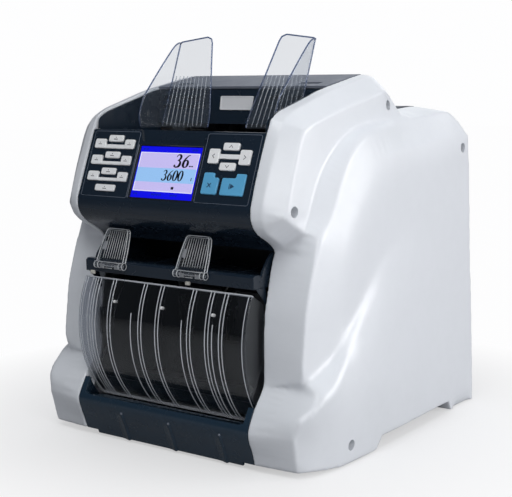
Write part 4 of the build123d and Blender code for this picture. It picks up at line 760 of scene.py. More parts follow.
def panel_bm():
    """Closed right-hand panel body: triangulated outer skin, rim walls, flat inner face."""
    verts, index_at = [], {}

    def vertex_index(point):
        key = (round(point[0], 2), round(point[1], 2))
        if key not in index_at:
            index_at[key] = len(verts)
            verts.append(tuple(point))
        return index_at[key]

    loop = []
    for corner, points in OUTLINE.values():
        for point in spline(points, 5.0, corner):
            i = vertex_index(point)
            if not loop or loop[-1] != i:
                loop.append(i)
    edges = []

    def chain(points):
        ids = [vertex_index(p) for p in points]
        edges.extend((a, b) for a, b in zip(ids, ids[1:]) if a != b)

    for points in FEATURES.values():
        chain(spline(points, 6.0, 50.0))
    rear_top = OUTLINE["rear"][1][0]
    chain(spline([FEATURES["shoulder"][-1], rear_top], 6.0))
    chain(spline([FEATURES["face_edge"][-1], rear_top], 6.0))
    chain([FEATURES["rim"][-1], FEATURES["upper_ridge"][-1]])
    for point in FACE_POINTS:
        vertex_index(point)
    n = len(loop)
    edges += [(loop[i], loop[(i + 1) % n]) for i in range(n)]
    flat_verts = [Vector((v[0], v[1])) for v in verts]
    flat, _, tris, origins, _, _ = delaunay_2d_cdt(flat_verts, edges, [], 0, 1e-3, True)
    poly = [(verts[i][0], verts[i][1]) for i in loop]

    def inside(points, tri):
        """Whether the triangle's middle lies inside the outline."""
        py = sum(points[i][0] for i in tri) / 3
        pz = sum(points[i][1] for i in tri) / 3
        result = False
        for i in range(len(poly)):
            a, b = poly[i], poly[i - 1]
            if ((a[1] > pz) != (b[1] > pz)
                    and py < (b[0] - a[0]) * (pz - a[1]) / (b[1] - a[1]) + a[0]):
                result = not result
        return result

    # crossings made by the triangulation take x from their two nearest points
    known = np.array(verts)
    placed = []
    for i, v in enumerate(flat):
        if origins[i]:
            placed.append(verts[origins[i][0]])
        else:
            d = np.hypot(known[:, 0] - v[0], known[:, 1] - v[1])
            nearest = np.argsort(d)[:2]
            weight = 1.0 / (d[nearest] + 1e-6)
            x = float((known[nearest, 2] * weight).sum() / weight.sum())
            placed.append((v[0], v[1], x))
    new_index = {}
    for i, sources in enumerate(origins):
        for k in sources:
            new_index[k] = i
    ring = [new_index[k] for k in loop]
    ring = [a for i, a in enumerate(ring) if a != ring[i - 1]]
    bm = bmesh.new()
    top = [bm.verts.new(W(x, y, z)) for y, z, x in placed]
    for tri in [t for t in tris if inside(flat, t)]:
        add_face(bm, [top[i] for i in tri])
    # walls down to the inner face wherever the rim isn't on it already
    base = []
    for i in ring:
        y, z, x = placed[i]
        base.append(top[i] if x <= PANEL_INNER + 1e-6 else bm.verts.new(W(PANEL_INNER, y, z)))
    m = len(ring)
    for k in range(m):
        j = (k + 1) % m
        corners = []
        for v in (top[ring[k]], top[ring[j]], base[j], base[k]):
            if v not in corners:
                corners.append(v)
        if len(corners) >= 3:
            add_face(bm, corners)
    # inner face, triangulated through the same outline
    rim = [Vector((placed[i][0], placed[i][1])) for i in ring]
    rim_edges = [(i, (i + 1) % m) for i in range(m)]
    flat, _, tris, origins, _, _ = delaunay_2d_cdt(rim, rim_edges, [], 0, 1e-6, True)
    for tri in tris:
        if inside(flat, tri):
            corners = [base[origins[i][0]] for i in tri if origins[i]]
            if len(corners) == 3:
                add_face(bm, corners)
    loose = [v for v in bm.verts if not v.link_faces]
    bmesh.ops.delete(bm, geom=loose, context="VERTS")
    return bm


def smooth_panel(mesh):
    """Relaxes the voxel surface, with a weight for each region."""
    count = len(mesh.vertices)
    co = np.empty(count * 3)
    mesh.vertices.foreach_get("co", co)
    co = co.reshape(-1, 3)
    edges = np.empty(len(mesh.edges) * 2, dtype=np.int64)
    mesh.edges.foreach_get("vertices", edges)
    edges = edges.reshape(-1, 2)
    degree = np.bincount(edges.ravel(), minlength=count).astype(float)

    def laplacian(p):
        total = np.zeros_like(p)
        for k in range(3):
            total[:, k] = (np.bincount(edges[:, 0], weights=p[edges[:, 1], k], minlength=count)
                           + np.bincount(edges[:, 1], weights=p[edges[:, 0], k], minlength=count))
        return total / degree[:, None] - p

    def relax(steps, rate, weight):
        for _ in range(steps):
            co[:] += rate * laplacian(co) * weight[:, None]

    def distance(curve):
        """Each vertex's distance to a curve, seen from the side."""
        yz = np.stack([co[:, 1] / MM - Y_SHIFT, co[:, 2] / MM], axis=1)
        d = np.full(count, 1e9)
        for point in spline(curve, 3.0, 50.0):
            d = np.minimum(d, np.sqrt(((yz - np.array(point[:2])) ** 2).sum(axis=1)))
        return d

    outer = co[:, 0] > 0.1235
    near = np.clip(1.0 - distance(FEATURES["face_edge"]) / 13.0, 0, 1) * outer
    near_end = np.clip(1.0 - distance(FEATURES["crease_end"]) / 26.0, 0, 1)
    near = np.maximum(near, 0.85 * near_end * outer)
    shoulder = np.clip(1.0 - distance(FEATURES["shoulder"][5:]) / 7.0, 0, 1) * outer
    # everywhere, but gently by the inner face
    relax(3, 0.5, np.clip((co[:, 0] / MM - PANEL_INNER) / 4.0, 0.35, 1.0))
    # the outline itself keeps its shape
    rim = np.minimum(distance(OUTLINE["rear"][1]),
                     np.minimum(distance(OUTLINE["deck"][1]), distance(OUTLINE["bottom"][1])))
    guard = np.clip((rim - 4.0) / 10.0, 0.0, 1.0)
    relax(70, 0.55, np.maximum(near, 0.18 * shoulder) * guard)
    # the broad face's own facets blend into one another
    crease = np.minimum(distance(FEATURES["crease_lower"]), distance(FEATURES["crease_upper"]))
    keep = np.clip(np.minimum(crease, distance(FEATURES["front_corner"])) / 7.0 - 0.4, 0, 1)
    relax(160, 0.55, np.clip((co[:, 0] / MM - 144.0) / 2.0, 0, 1) * keep * guard)
    # the long crease is even along its length
    relax(34, 0.5, np.clip(1.25 - crease / 8.0, 0, 1) * outer)
    mesh.vertices.foreach_set("co", co.ravel())
    mesh.update()


def side_panels():
    right = new_obj("panel_work", panel_bm())
    remesh = right.modifiers.new("remesh", "REMESH")
    remesh.mode = "VOXEL"
    remesh.voxel_size = 0.00138
    remesh.use_smooth_shade = True
    bake(right)
    smooth_panel(right.data)
    recesses = [cylinder(RECESS_RADIUS, (floor_x - 0.05, y, z), (surface_x + 14, y, z), sides=40)
                for y, z, surface_x, floor_x in SCREWS]
    cut(right, join("recesses", recesses))
    right.modifiers.new("light", "DECIMATE").ratio = 0.50
    bake(right)
    for face in right.data.polygons:
        face.use_smooth = True
    right.name = "right_panel_shell"
    right.data.name = "right_panel_shell"
    right.data.materials.clear()
    right.data.materials.append(WHITE)
    # edges of the recesses stay crisp
    bm = bmesh.new()
    bm.from_mesh(right.data)
    for edge in bm.edges:
        if len(edge.link_faces) == 2 and edge.calc_face_angle(0.0) > math.radians(50):
            edge.smooth = False
    bm.to_mesh(right.data)
    # the left panel mirrors the right
    for v in bm.verts:
        v.co.x = -v.co.x
    bmesh.ops.reverse_faces(bm, faces=bm.faces[:])
    left_mesh = bpy.data.meshes.new("left_panel_shell")
    bm.to_mesh(left_mesh)
    bm.free()
    left_mesh.materials.append(WHITE)
    left = link_object("left_panel_shell", left_mesh)
    give(right, "chassis", "shell_white", "right_side_panel")
    give(left, "chassis", "shell_white", "left_side_panel")


side_panels()


# ---------------------------------------------------------------- keypad fascia
# Outlines on the keypad plane as (x, s), s running up the slope.
def u_key(bottom, bar_top, top):
    """Two uprights joined by a bar along the bottom."""
    return [(-93, bottom), (-44.5, bottom), (-44.5, top), (-56.2, top), (-56.2, bar_top),
            (-79.8, bar_top), (-79.8, top), (-93, top)]


DISPLAY = rect(-36.6, 35.6, 3.4, 52.6)
KEYS = {
    "key_menu_upper": u_key(48.3, 52.0, 57.3),
    "key_menu_middle": u_key(32.8, 35.8, 41.7),
    "key_menu_lower": u_key(17.3, 20.2, 26.2),
    "key_centre_upper": rect(-77, -59.3, 54.8, 61.2),
    "key_centre_middle": rect(-77, -59.3, 39.0, 45.3),
    "key_centre_lower": rect(-77, -59.3, 23.4, 29.7),
    "key_bottom": rect(-80.2, -56.0, 7.6, 13.9),
    "key_up": rect(58.2, 75.4, 50.3, 57.1),
    "key_down": rect(58.4, 75.2, 32.2, 39.3),
    "key_side_pair": [
        (44.2, 38.0), (55.5, 38.0), (55.5, 42.6), (77.7, 42.6), (77.7, 37.7), (89.5, 37.7),
        (89.5, 51.2), (77.7, 51.2), (77.7, 46.8), (55.5, 46.8), (55.5, 51.4), (44.2, 51.4)],
    "key_clear": [(44.0, 10.5), (60.8, 10.5), (60.8, 25.6), (55.5, 25.6), (55.5, 29.9),
                  (44.0, 29.9)],
    "key_start": [(64.6, 10.4), (89.3, 10.4), (89.3, 29.9), (79.0, 29.9), (79.0, 25.8),
                  (64.6, 25.8)],
}


def keypad_frame(points, width, out0, out1, mat, radius):
    """Thin printed or raised frame just inside an outline."""
    frame_piece = keypad_block(rounded(points, radius), out0, out1, mat)
    hole = rounded(grow(points, -width), radius - width)
    return cut(frame_piece, keypad_block(hole, out0 - 1, out1 + 1))


def fascia():
    nose = [(-122.6, 188.2), (-125.2, 191.9), (-135.2, 198.6), (-146.5, 204.9),
            (-153.1, 211.6), (-156.1, 218.4), (FASCIA_Y, FASCIA_Z)]
    top_y = FASCIA_Y + SLOPE_Y * SLOPE_LENGTH
    top_z = FASCIA_Z + SLOPE_Z * SLOPE_LENGTH
    path = spline(nose, 1.6, 70.0) + [
        (top_y, top_z), (top_y + 0.9, top_z + 1.1), (top_y + 2.4, top_z + 1.5),
        (top_y + 5.6, top_z + 1.2)]
    shell = prism(strip(path[::-1], 2.6), -DARK_HALF, DARK_HALF, DARK, name="fascia_shell")
    holes = [keypad_block(rounded(DISPLAY, 1.2), -6, 3)]
    for points in KEYS.values():
        holes.append(keypad_block(rounded(grow(points, 0.25), 1.5), -6, 3))
    scoop = [(-36, 55.6), (38, 55.6), (45, 72), (-42, 72)]
    holes.append(keypad_block(rounded(scoop, [4, 4, 0, 0]), -1.7, 3))
    cut(shell, join("holes", holes))
    bevel(shell, 0.45)
    # thin outlines round the two key fields, a frame round the display and a light
    # upright edge to its left
    outlines = [keypad_frame(rect(x0, x1, 2.5, 65.2), 0.45, -0.2, 0.16, OUTLINE_PRINT, 2.0)
                for x0, x1 in ((-96.6, -40.2), (38.2, 96.6))]
    outlines.append(keypad_frame(grow(DISPLAY, 0.9), 0.95, -0.6, 0.22, BLACK, 1.6))
    light_edge = rounded(rect(-39.4, -38.7, 3.0, 53.0), 0.2)
    outlines.append(keypad_block(light_edge, -0.2, 0.3, COVER_GREY))
    outlines = join("fascia_outlines", outlines)
    give(shell, "chassis", "dark_plastic", "control_fascia")
    give(outlines, "chassis", "dark_plastic")


fascia()


# ---------------------------------------------------------------- keys
# Key marks as (x, s) polygons about their centre.
MARKS = {
    "dotbar": [[(-2.4, -0.9), (2.4, -0.9), (2.4, -0.25), (-2.4, -0.25)],
               [(-0.45, 0.9), (0.45, 0.9), (0.45, 1.6), (-0.45, 1.6)]],
    "up": [[(-2.2, -1.1), (-1.5, -1.1), (0, 0.7), (1.5, -1.1), (2.2, -1.1), (0, 1.5)]],
    "down": [[(-2.2, 1.1), (0, -1.5), (2.2, 1.1), (1.5, 1.1), (0, -0.7), (-1.5, 1.1)]],
    "left": [[(1.1, -2.2), (1.1, -1.5), (-0.7, 0), (1.1, 1.5), (1.1, 2.2), (-1.5, 0)]],
    "right": [[(-1.1, 2.2), (-1.1, 1.5), (0.7, 0), (-1.1, -1.5), (-1.1, -2.2), (1.5, 0)]],
    "cross": [[(-2.0, -1.5), (-1.5, -2.0), (2.0, 1.5), (1.5, 2.0)],
              [(1.5, -2.0), (2.0, -1.5), (-1.5, 2.0), (-2.0, 1.5)]],
    "play": [[(-1.6, -2.2), (2.4, 0), (-1.6, 2.2)],
             [(-2.8, -2.2), (-2.1, -2.2), (-2.1, 2.2), (-2.8, 2.2)]],
}
KEY_TOP = 1.35      # how far the keys stand out of the fascia
BAR_TOP = 0.95      # the same for the bars that join two uprights
BLUE_KEYS = ("key_clear", "key_start")


def keycap(name):
    points = KEYS[name]
    blue = name in BLUE_KEYS
    mat = KEY_BLUE if blue else KEY_WHITE
    print_mat = PRINT_NAVY if blue else PRINT_GREY
    caps, icons = [], []

    def cap(outline, height, radius=1.7):
        caps.append(soften(keypad_block(rounded(outline, radius, 6), -2.6, height, mat), 0.75, 4))

    def mark(shape, x, s, scale=1.0):
        for polygon in MARKS[shape]:
            placed = [(x + a * scale, s + b * scale) for a, b in polygon]
            icons.append(keypad_block(placed, KEY_TOP - 0.02, KEY_TOP + 0.06, print_mat))

    if name.startswith("key_menu"):
        bottom, top, bar_top = points[0][1], points[2][1], points[4][1]
        cap(rect(-93, -44.5, bottom, bar_top + 0.3), BAR_TOP)
        cap(rect(-93, -79.8, bottom, top), KEY_TOP)
        cap(rect(-56.2, -44.5, bottom, top), KEY_TOP)
        for x in (-86.4, -50.4):
            mark("dotbar", x, (bottom + top) / 2 - 0.2, 0.85)
    elif name == "key_side_pair":
        cap(rect(50, 84, 42.6, 46.8), BAR_TOP, 0.4)
        cap(rect(44.2, 55.5, 38.0, 51.4), KEY_TOP)
        cap(rect(77.7, 89.5, 37.7, 51.2), KEY_TOP)
        mark("left", 49.8, 44.7)
        mark("right", 83.6, 44.4)
    else:
        cap(points, KEY_TOP, 1.6)
        x = sum(p[0] for p in points) / len(points)
        s = sum(p[1] for p in points) / len(points)
        if name == "key_up":
            mark("up", x, s, 0.95)
        elif name == "key_down":
            mark("down", x, s, 0.95)
        elif name == "key_clear":
            mark("cross", 52.0, 18.6, 1.1)
        elif name == "key_start":
            mark("play", 76.6, 18.4, 1.1)
        else:
            mark("dotbar", x, s - 0.3, 0.95)
    key = join(name + "_cap", caps + icons)
    give(key, name, "key_blue" if blue else "key_white", name)
    weighted_normals(key, 60)


for key_name in KEYS:
    keycap(key_name)


# ---------------------------------------------------------------- display
def oval(cx, cy, rx, ry, count):
    angles = [2 * math.pi * i / count for i in range(count + 1)]
    return [(cx + rx * math.cos(a), cy + ry * math.sin(a)) for a in angles]


# Strokes of the serif digits: x and y in a unit box, stroke width.
GLYPHS = {
    "0": [[(x, y, 0.05 + 0.17 * abs(math.cos(2 * math.pi * i / 28)))
           for i, (x, y) in enumerate(oval(0.50, 0.5, 0.33, 0.48, 28))]],
    "3": [[(0.16, 0.80, 0.05), (0.24, 0.93, 0.06), (0.42, 0.985, 0.08), (0.62, 0.93, 0.15),
           (0.70, 0.80, 0.20), (0.66, 0.66, 0.17), (0.52, 0.57, 0.09), (0.38, 0.54, 0.05)],
          [(0.38, 0.54, 0.05), (0.58, 0.52, 0.07), (0.74, 0.42, 0.15), (0.78, 0.27, 0.22),
           (0.70, 0.12, 0.20), (0.50, 0.03, 0.11), (0.30, 0.02, 0.09), (0.17, 0.08, 0.10)],
          [(x, y, 0.10) for x, y in oval(0.15, 0.115, 0.045, 0.045, 12)]],
    "6": [[(0.86, 0.98, 0.04), (0.66, 0.92, 0.07), (0.46, 0.78, 0.11), (0.30, 0.58, 0.17),
           (0.22, 0.38, 0.21), (0.24, 0.20, 0.21), (0.36, 0.06, 0.13), (0.52, 0.02, 0.06)],
          [(0.52, 0.02, 0.06), (0.68, 0.08, 0.11), (0.78, 0.24, 0.20), (0.76, 0.42, 0.19),
           (0.64, 0.55, 0.11), (0.48, 0.56, 0.06), (0.34, 0.46, 0.04)]],
}


def ribbon(stroke, x0, s0, width, height):
    """Tapered, slightly leaning stroke as a thin raised plate on the display."""
    lean = 0.10
    path = spline(stroke, 0.045, 70.0)
    bm = bmesh.new()
    rows = []
    for i, point in enumerate(path):
        a = path[max(0, i - 1)]
        b = path[min(len(path) - 1, i + 1)]
        dx, dy = (b[0] - a[0]) * width, (b[1] - a[1]) * height
        length = math.hypot(dx, dy) or 1.0
        nx, ny = -dy / length, dx / length
        half = max(0.03, point[2] * 1.38 + 0.012) * width * 0.5
        row = []
        for sign in (-1, 1):
            u = point[0] * width + nx * half * sign
            v = point[1] * height + ny * half * sign
            for out in (-0.43, -0.38):
                row.append(bm.verts.new(on_keypad(x0 + u + lean * v, s0 + v, out)))
        rows.append(row)
    for r0, r1 in zip(rows, rows[1:]):
        for a, b in ((0, 1), (1, 3), (3, 2), (2, 0)):
            bm.faces.new((r0[a], r0[b], r1[b], r1[a]))
    for r in (rows[0], rows[-1]):
        bm.faces.new((r[0], r[1], r[3], r[2]))
    return new_obj("stroke", bm, SCREEN_INK, smooth=False)


def display():
    parts = [keypad_block(rounded(grow(DISPLAY, -0.3), 0.9), -3.0, -0.62, BLACK),
             keypad_block(rounded(grow(DISPLAY, 2.0), 1.0), -6.2, -2.9, STEEL)]
    # panes of colour, each a little higher than the one it lies on
    for outline, out, mat in (
            (rect(-36.0, 35.0, 4.0, 52.0), -0.50, SCREEN_BLUE),
            (rect(-34.9, 33.6, 10.3, 46.5), -0.46, SCREEN_WHITE),
            (rect(-33.9, 32.9, 32.2, 45.9), -0.42, SCREEN_LAVENDER),
            (rect(-34.9, 33.2, 19.0, 32.2), -0.42, SCREEN_SKY),
            (rect(-33.9, 32.9, 11.0, 19.0), -0.42, SCREEN_LAVENDER)):
        parts.append(keypad_block(outline, -0.7, out, mat))
    # text, x of its start, digit pitch, s of its foot, digit width and height
    for text, x0, pitch, s0, width, height in (("36", 5.8, 8.7, 33.4, 8.9, 11.8),
                                               ("3600", -4.9, 6.05, 20.9, 6.3, 9.6)):
        for k, digit in enumerate(text):
            for stroke in GLYPHS[digit]:
                parts.append(ribbon(stroke, x0 + k * pitch, s0, width, height))
    for spot in ((24.0, 26.0, 34.2, 35.3), (26.6, 28.4, 34.2, 35.3),
                 (29.2, 30.0, 21.6, 24.4), (9.0, 12.0, 13.0, 15.4)):
        parts.append(keypad_block(rect(*spot), -0.43, -0.39, SCREEN_INK))
    # rows of dim dashes along the top and bottom
    for s0, s1, spans in ((48.3, 50.2, ((-33, -26), (7, 10), (24, 31))),
                          (6.6, 8.4, ((-33, -28), (-12, 0), (10, 18)))):
        for x0, x1 in spans:
            count = max(2, int((x1 - x0) / 1.5))
            for i in range(count):
                x = x0 + (x1 - x0) * i / count
                dash = rect(x, x + (x1 - x0) / count * 0.62, s0 + 0.4 * (i % 2), s1)
                parts.append(keypad_block(dash, -0.51, -0.47, SCREEN_DIM))
    module = join("display_module", parts)
    for face in module.data.polygons:
        face.use_smooth = False
    give(module, "chassis", "lcd", "lcd_display")


display()


# ---------------------------------------------------------------- front apron
# Section of an apron crease: x from its line, height = base + factor * crease height.
CREASE_SECTION = ((-9.0, -0.05, 0), (-5.0, 0, 0.22), (-2.0, 0, 0.78), (-0.7, 0, 1),
                  (0.3, 0, 0.97), (1.1, 0, 0.35), (1.5, -0.05, 0))


def apron_crease(x, path):
    """Upright raised crease that fades out at its top."""
    top_z, fade_length, full_height = 32.0, 4.0, 1.35
    bm = bmesh.new()
    rows = []
    for i, (y, z) in enumerate(path):
        if z > top_z:
            break
        a = path[max(0, i - 1)]
        b = path[min(len(path) - 1, i + 1)]
        dy, dz = b[0] - a[0], b[1] - a[1]
        length = math.hypot(dy, dz)
        ny, nz = -dz / length, dy / length
        h = full_height * min(1.0, (top_z - z) / fade_length)
        section = [(dx, base + factor * h) for dx, base, factor in CREASE_SECTION]
        rows.append([bm.verts.new(W(x + dx, y + ny * out, z + nz * out)) for dx, out in section])
    for r0, r1 in zip(rows, rows[1:]):
        for k in range(len(CREASE_SECTION) - 1):
            bm.faces.new((r0[k], r0[k + 1], r1[k + 1], r1[k]))
    return new_obj("crease", bm, APRON_DARK_PAINTED_LIGHT)


def apron():
    profile = [(-150.2, 2.4), (-151.5, 5.8), (-155.5, 16.3), (-159.6, 26.1), (-162.2, 35.6),
               (-160.8, 41.3), (-156.5, 49.0), (-152.3, 56.2)]
    path = spline(profile, 1.5, 70.0)
    shell = prism(strip(path[::-1], 2.4), -DARK_HALF, DARK_HALF, APRON_DARK_PAINTED_LIGHT, name="apron_shell")
    notch = [(-93.5, 43.5), (-88.0, 41.6), (88.0, 41.6), (93.5, 43.5), (93.5, 60), (-93.5, 60)]
    cut(shell,
        extrude([W(x, -170, z) for x, z in notch], Vector((0, 0.09, 0))),
        cylinder(DOOR_RADIUS + 0.9, (-97.8, DOOR_Y, DOOR_Z), (97.8, DOOR_Y, DOOR_Z), sides=160),
        block(-102.0, -86.0, -156.0, -146.0, 0.0, 5.8),
        block(86.0, 102.0, -156.0, -146.0, 0.0, 5.8))
    bevel(shell, 0.6, 3, angle=35)
    # thin cheeks closing the notch between the crest and the door's ends
    cheek_outline = [(-160.2, 41.4), (-156.2, 49.0), (-152.2, 55.8), (-149.2, 55.8),
                     (-144.0, 46.0), (-136.0, 35.0), (-140.0, 33.5), (-150.0, 36.0),
                     (-159.0, 39.0)]
    for side in (-1, 1):
        cheek = prism(cheek_outline, *side_span(side, 97.6, 98.1), APRON_DARK_PAINTED_LIGHT, name="apron_cheek")
        give(cheek, "chassis", "dark_plastic")
    ledge_path = spline([(-137.2, 36.4), (-146.0, 37.6), (-154.0, 39.4), (-159.3, 41.2)], 1.5, 60.0)
    ledge = prism(strip(ledge_path, 2.0), -93.8, 93.8, APRON_DARK_PAINTED_LIGHT, name="apron_ledge")
    bevel(ledge, 0.5, 3)
    give(ledge, "chassis", "dark_plastic")
    lip = block(-DARK_HALF, DARK_HALF, -151.6, -142.5, 5.8, 8.0, APRON_DARK_PAINTED_LIGHT, name="apron_return")
    cut(lip, block(-98.2, 98.2, -143, -140, 0, 9))
    bevel(lip, 0.4)
    # three upright creases with a small round boss at their tops, the bosses light grey as painted
    # highlight dots
    creases = []
    for x in (-45.9, 10.9, 68.9):
        creases.append(apron_crease(x, path))
        boss = cylinder(1.45, (x - 0.3, -159.9, 29.9), (x - 0.3, -162.0, 29.6), COVER_GREY,
                        sides=20, end_radius=1.1)
        creases.append(soften(boss, 0.35))
    creases = join("apron_creases", creases)
    give(shell, "chassis", "dark_plastic", "front_apron")
    give(lip, "chassis", "dark_plastic")
    give(creases, "chassis", "dark_plastic")


apron()


# ---------------------------------------------------------------- stacker door
DOOR_HALF = 97.3
DOOR_BOTTOM, DOOR_TOP = -47.0, 28.3     # degrees about the pivot, level with it is 0
RIB_BOTTOM, RIB_TOP = -46.4, 27.6
DOUBLE_RIBS = (-77.8, -58.8, -21.0, -0.9, 36.0, 56.0, 71.3)
# Door ribs: x positions, width, top angle, height above the shell.
RIB_SETS = [
    ([x + d for x in DOUBLE_RIBS for d in (-1.8, 1.8)], 0.95, RIB_TOP, 0.45),
    ((-31.9, 27.5, 62.0), 1.0, 11.0, 0.45),
    ((-95.4, -93.0, -86.2, -82.6), 0.7, RIB_TOP, 0.4),
    ((94.6,), 0.8, RIB_TOP, 0.4),
]


def arc(radius, start, end, count):
    angles = [math.radians(start + (end - start) * i / count) for i in range(count + 1)]
    return [(DOOR_Y - radius * math.cos(a), DOOR_Z + radius * math.sin(a)) for a in angles]


def arc_band(outer, inner, start, end, count):
    return arc(outer, start, end, count) + arc(inner, end, start, count)


def door():
    shell = prism(arc_band(DOOR_RADIUS, DOOR_RADIUS - DOOR_WALL, DOOR_BOTTOM, DOOR_TOP, 60),
                  -DOOR_HALF, DOOR_HALF, DOOR_CLEAR)
    bevel(shell, 0.7, 3)
    parts = [shell]
    wall_outline = (arc(DOOR_RADIUS - 0.15, DOOR_BOTTOM, DOOR_TOP, 60)
                    + spline([(-134.6, 143.6), (-133.2, 120), (-133.0, 96), (-132.2, 66)], 4.0))
    arm_outline = [(-134, 120), (-134, 94), (DOOR_Y, DOOR_Z - 8), (DOOR_Y + 5.7, DOOR_Z - 5.7),
                   (DOOR_Y + 8, DOOR_Z), (DOOR_Y + 5.7, DOOR_Z + 5.7), (DOOR_Y, DOOR_Z + 8)]
    for side in (-1, 1):
        x0, x1 = side_span(side, DOOR_HALF - 2.3, DOOR_HALF)
        wall = prism(wall_outline, x0, x1, DOOR_CLEAR)
        arm = prism(arm_outline, x0 + 0.1, x1 - 0.1, DOOR_CLEAR)
        cut(arm, cylinder(4.05, (x0 - 3, DOOR_Y, DOOR_Z), (x1 + 3, DOOR_Y, DOOR_Z)))
        parts += [bevel(wall, 0.5), bevel(arm, 0.5)]
    give(join("door_clear_shell", parts), "stacker_door", "clear_door", "stacker_door")
    # the ribs are real, their hazy white is painted highlight
    ribs = []
    for positions, width, top, height in RIB_SETS:
        outline = arc_band(DOOR_RADIUS + height, DOOR_RADIUS - 0.25, RIB_BOTTOM, top, 44)
        for x in positions:
            ribs.append(soften(prism(outline, x - width / 2, x + width / 2, DOOR_RIB_HIGHLIGHT), 0.28))
    # beads along the top and bottom edges, their hazy white painted highlight
    for start, end in ((27.5, DOOR_TOP), (DOOR_BOTTOM, -46.2)):
        outline = arc_band(DOOR_RADIUS + 0.02, DOOR_RADIUS - DOOR_WALL - 0.5, start, end, 3)
        ribs.append(soften(prism(outline, -97.0, 97.0, DOOR_RIB_HIGHLIGHT), 0.25))
    give(join("door_ribs", ribs), "stacker_door", "clear_door")
    # small white snap bosses
    angle = math.radians(15.8)

    def boss_end(x, radius):
        return x, DOOR_Y - radius * math.cos(angle), DOOR_Z + radius * math.sin(angle)

    bosses = []
    for x in (-54.5, 2.3, 60.2):
        boss = cylinder(1.45, boss_end(x, DOOR_RADIUS - 3.6), boss_end(x, DOOR_RADIUS + 0.35),
                        BOSS_WHITE, sides=24)
        bosses.append(soften(boss, 0.5, 3))
    give(join("door_snap_bosses", bosses), "stacker_door", "clear_door")


door()


# ---------------------------------------------------------------- reject stoppers
def stopper_outline(inset, foot=0.4, foot_radius=0.4):
    """Tapering flap outline as (x, distance up the flap)."""
    right = [(17.2 - inset, foot), (16.5 - inset, 12), (14.9 - inset, 25),
             (13.2 - inset, 33.2 - inset)]
    points = [(-right[0][0], foot)] + right + [(-x, q) for x, q in right[:0:-1]]
    top_radius = 4.4 - inset
    return rounded(points, [foot_radius, foot_radius, 8, 8, top_radius, top_radius, 8, 8], 6)


def stopper_hole(inset):
    """The same outline run out past the foot, so that a frame stays open there."""
    return stopper_outline(inset, foot=-3.0, foot_radius=0)


def stopper(name, xc):
    lean_y, lean_z = 13.4, 31.6
    length = math.hypot(lean_y, lean_z)
    uy, uz = lean_y / length, lean_z / length
    y0, z0 = STOPPER_Y + 1.6, STOPPER_Z + 2.0

    def slab(points, d0, d1, mat=None, edge=0):
        """(x, distance up the flap) polygon, swept through the flap's thickness."""
        sweep = Vector((0, -uz * (d1 - d0) * MM, uy * (d1 - d0) * MM))
        loop = [W(xc + x, y0 + uy * q - uz * d0, z0 + uz * q + uy * d0) for x, q in points]
        piece = extrude(loop, sweep, mat)
        return soften(piece, edge) if edge else piece

    def flap_frame(inset, hole_inset, d0, d1, mat, edge):
        piece = slab(stopper_outline(inset), d0, d1, mat)
        return soften(cut(piece, slab(stopper_hole(hole_inset), d0 - 1.0, d1 + 1.0)), edge)

    def rod(radius, x0, x1, mat=None, sides=40):
        return cylinder(radius, (xc + x0, STOPPER_Y, STOPPER_Z), (xc + x1, STOPPER_Y, STOPPER_Z),
                        mat, sides)

    plate = slab(stopper_outline(0.3), -0.8, 0.5, STOPPER_CLEAR, 0.3)
    # a bright bead round the outside, a second one just inside it, a raised wall between; the beads'
    # hazy white is painted highlight
    outer = flap_frame(0.0, 0.7, -0.85, 0.1, STOPPER_EDGE_HIGHLIGHT, 0.2)
    wall = flap_frame(0.5, 1.35, 0.1, 2.3, STOPPER_CLEAR, 0.15)
    inner = flap_frame(0.6, 1.3, 2.2, 2.85, STOPPER_EDGE_HIGHLIGHT, 0.15)
    ribs = []
    for i in range(-4, 5):
        foot, top = i * 2.85, i * 2.6
        ribs.append(slab([(foot - 0.26, 4.0), (foot + 0.26, 4.0), (top + 0.26, 30.4),
                          (top - 0.26, 30.4)], 0.42, 0.72, STOPPER_EDGE_HIGHLIGHT))
    ribs.append(slab([(-14.0, 30.9), (14.0, 30.9), (13.6, 31.3), (-13.6, 31.3)],
                     0.45, 0.95, STOPPER_EDGE_HIGHLIGHT))
    window = slab([(-14.0, 12.0), (-9.8, 12.0), (-9.8, 20.0), (-13.2, 20.0)],
                  0.5, 1.1, STOPPER_WINDOW, 0.15)
    # hinge bar with two gaps in its underside and a knuckle at each end
    bar = block(xc - 17.6, xc + 17.6, STOPPER_Y - 2.8, STOPPER_Y + 2.4,
                STOPPER_Z - 2.4, STOPPER_Z + 3.6, STOPPER_CLEAR)
    gaps = [block(xc + x0, xc + x1, STOPPER_Y - 9, STOPPER_Y + 9, STOPPER_Z - 9, STOPPER_Z + 1.9)
            for x0, x1 in ((-12.5, -5.0), (5.0, 12.5))]
    cut(bar, join("gaps", gaps))
    bake(bevel(bar, 0.7, 3))
    knuckles = []
    for x0, x1 in ((-17.6, -12.5), (12.5, 17.6)):
        knuckle = cut(rod(3.5, x0, x1, STOPPER_CLEAR), rod(1.55, x0 - 2, x1 + 2, sides=24))
        knuckles.append(soften(knuckle, 0.4))
        for x in (x0, x1 - 0.7):
            end_ring = rod(3.55, x, x + 0.7, STOPPER_EDGE_HIGHLIGHT)
            knuckles.append(cut(end_ring, rod(2.9, x - 2, x + 3, sides=32)))
    # bright lines along the bar's front, painted highlight on the bar: half length, z, half height
    lines = [block(xc - half, xc + half, STOPPER_Y - 2.95, STOPPER_Y - 2.5, z - h, z + h,
                   STOPPER_EDGE_HIGHLIGHT)
             for half, z, h in ((17.2, STOPPER_Z + 3.3, 0.25), (4.8, STOPPER_Z - 2.3, 0.2))]
    give(join(name + "_clear", [plate, wall, bar]), name, "clear_plastic", name)
    give(join(name + "_rims", [outer, inner] + ribs + knuckles + [window] + lines),
         name, "clear_plastic")


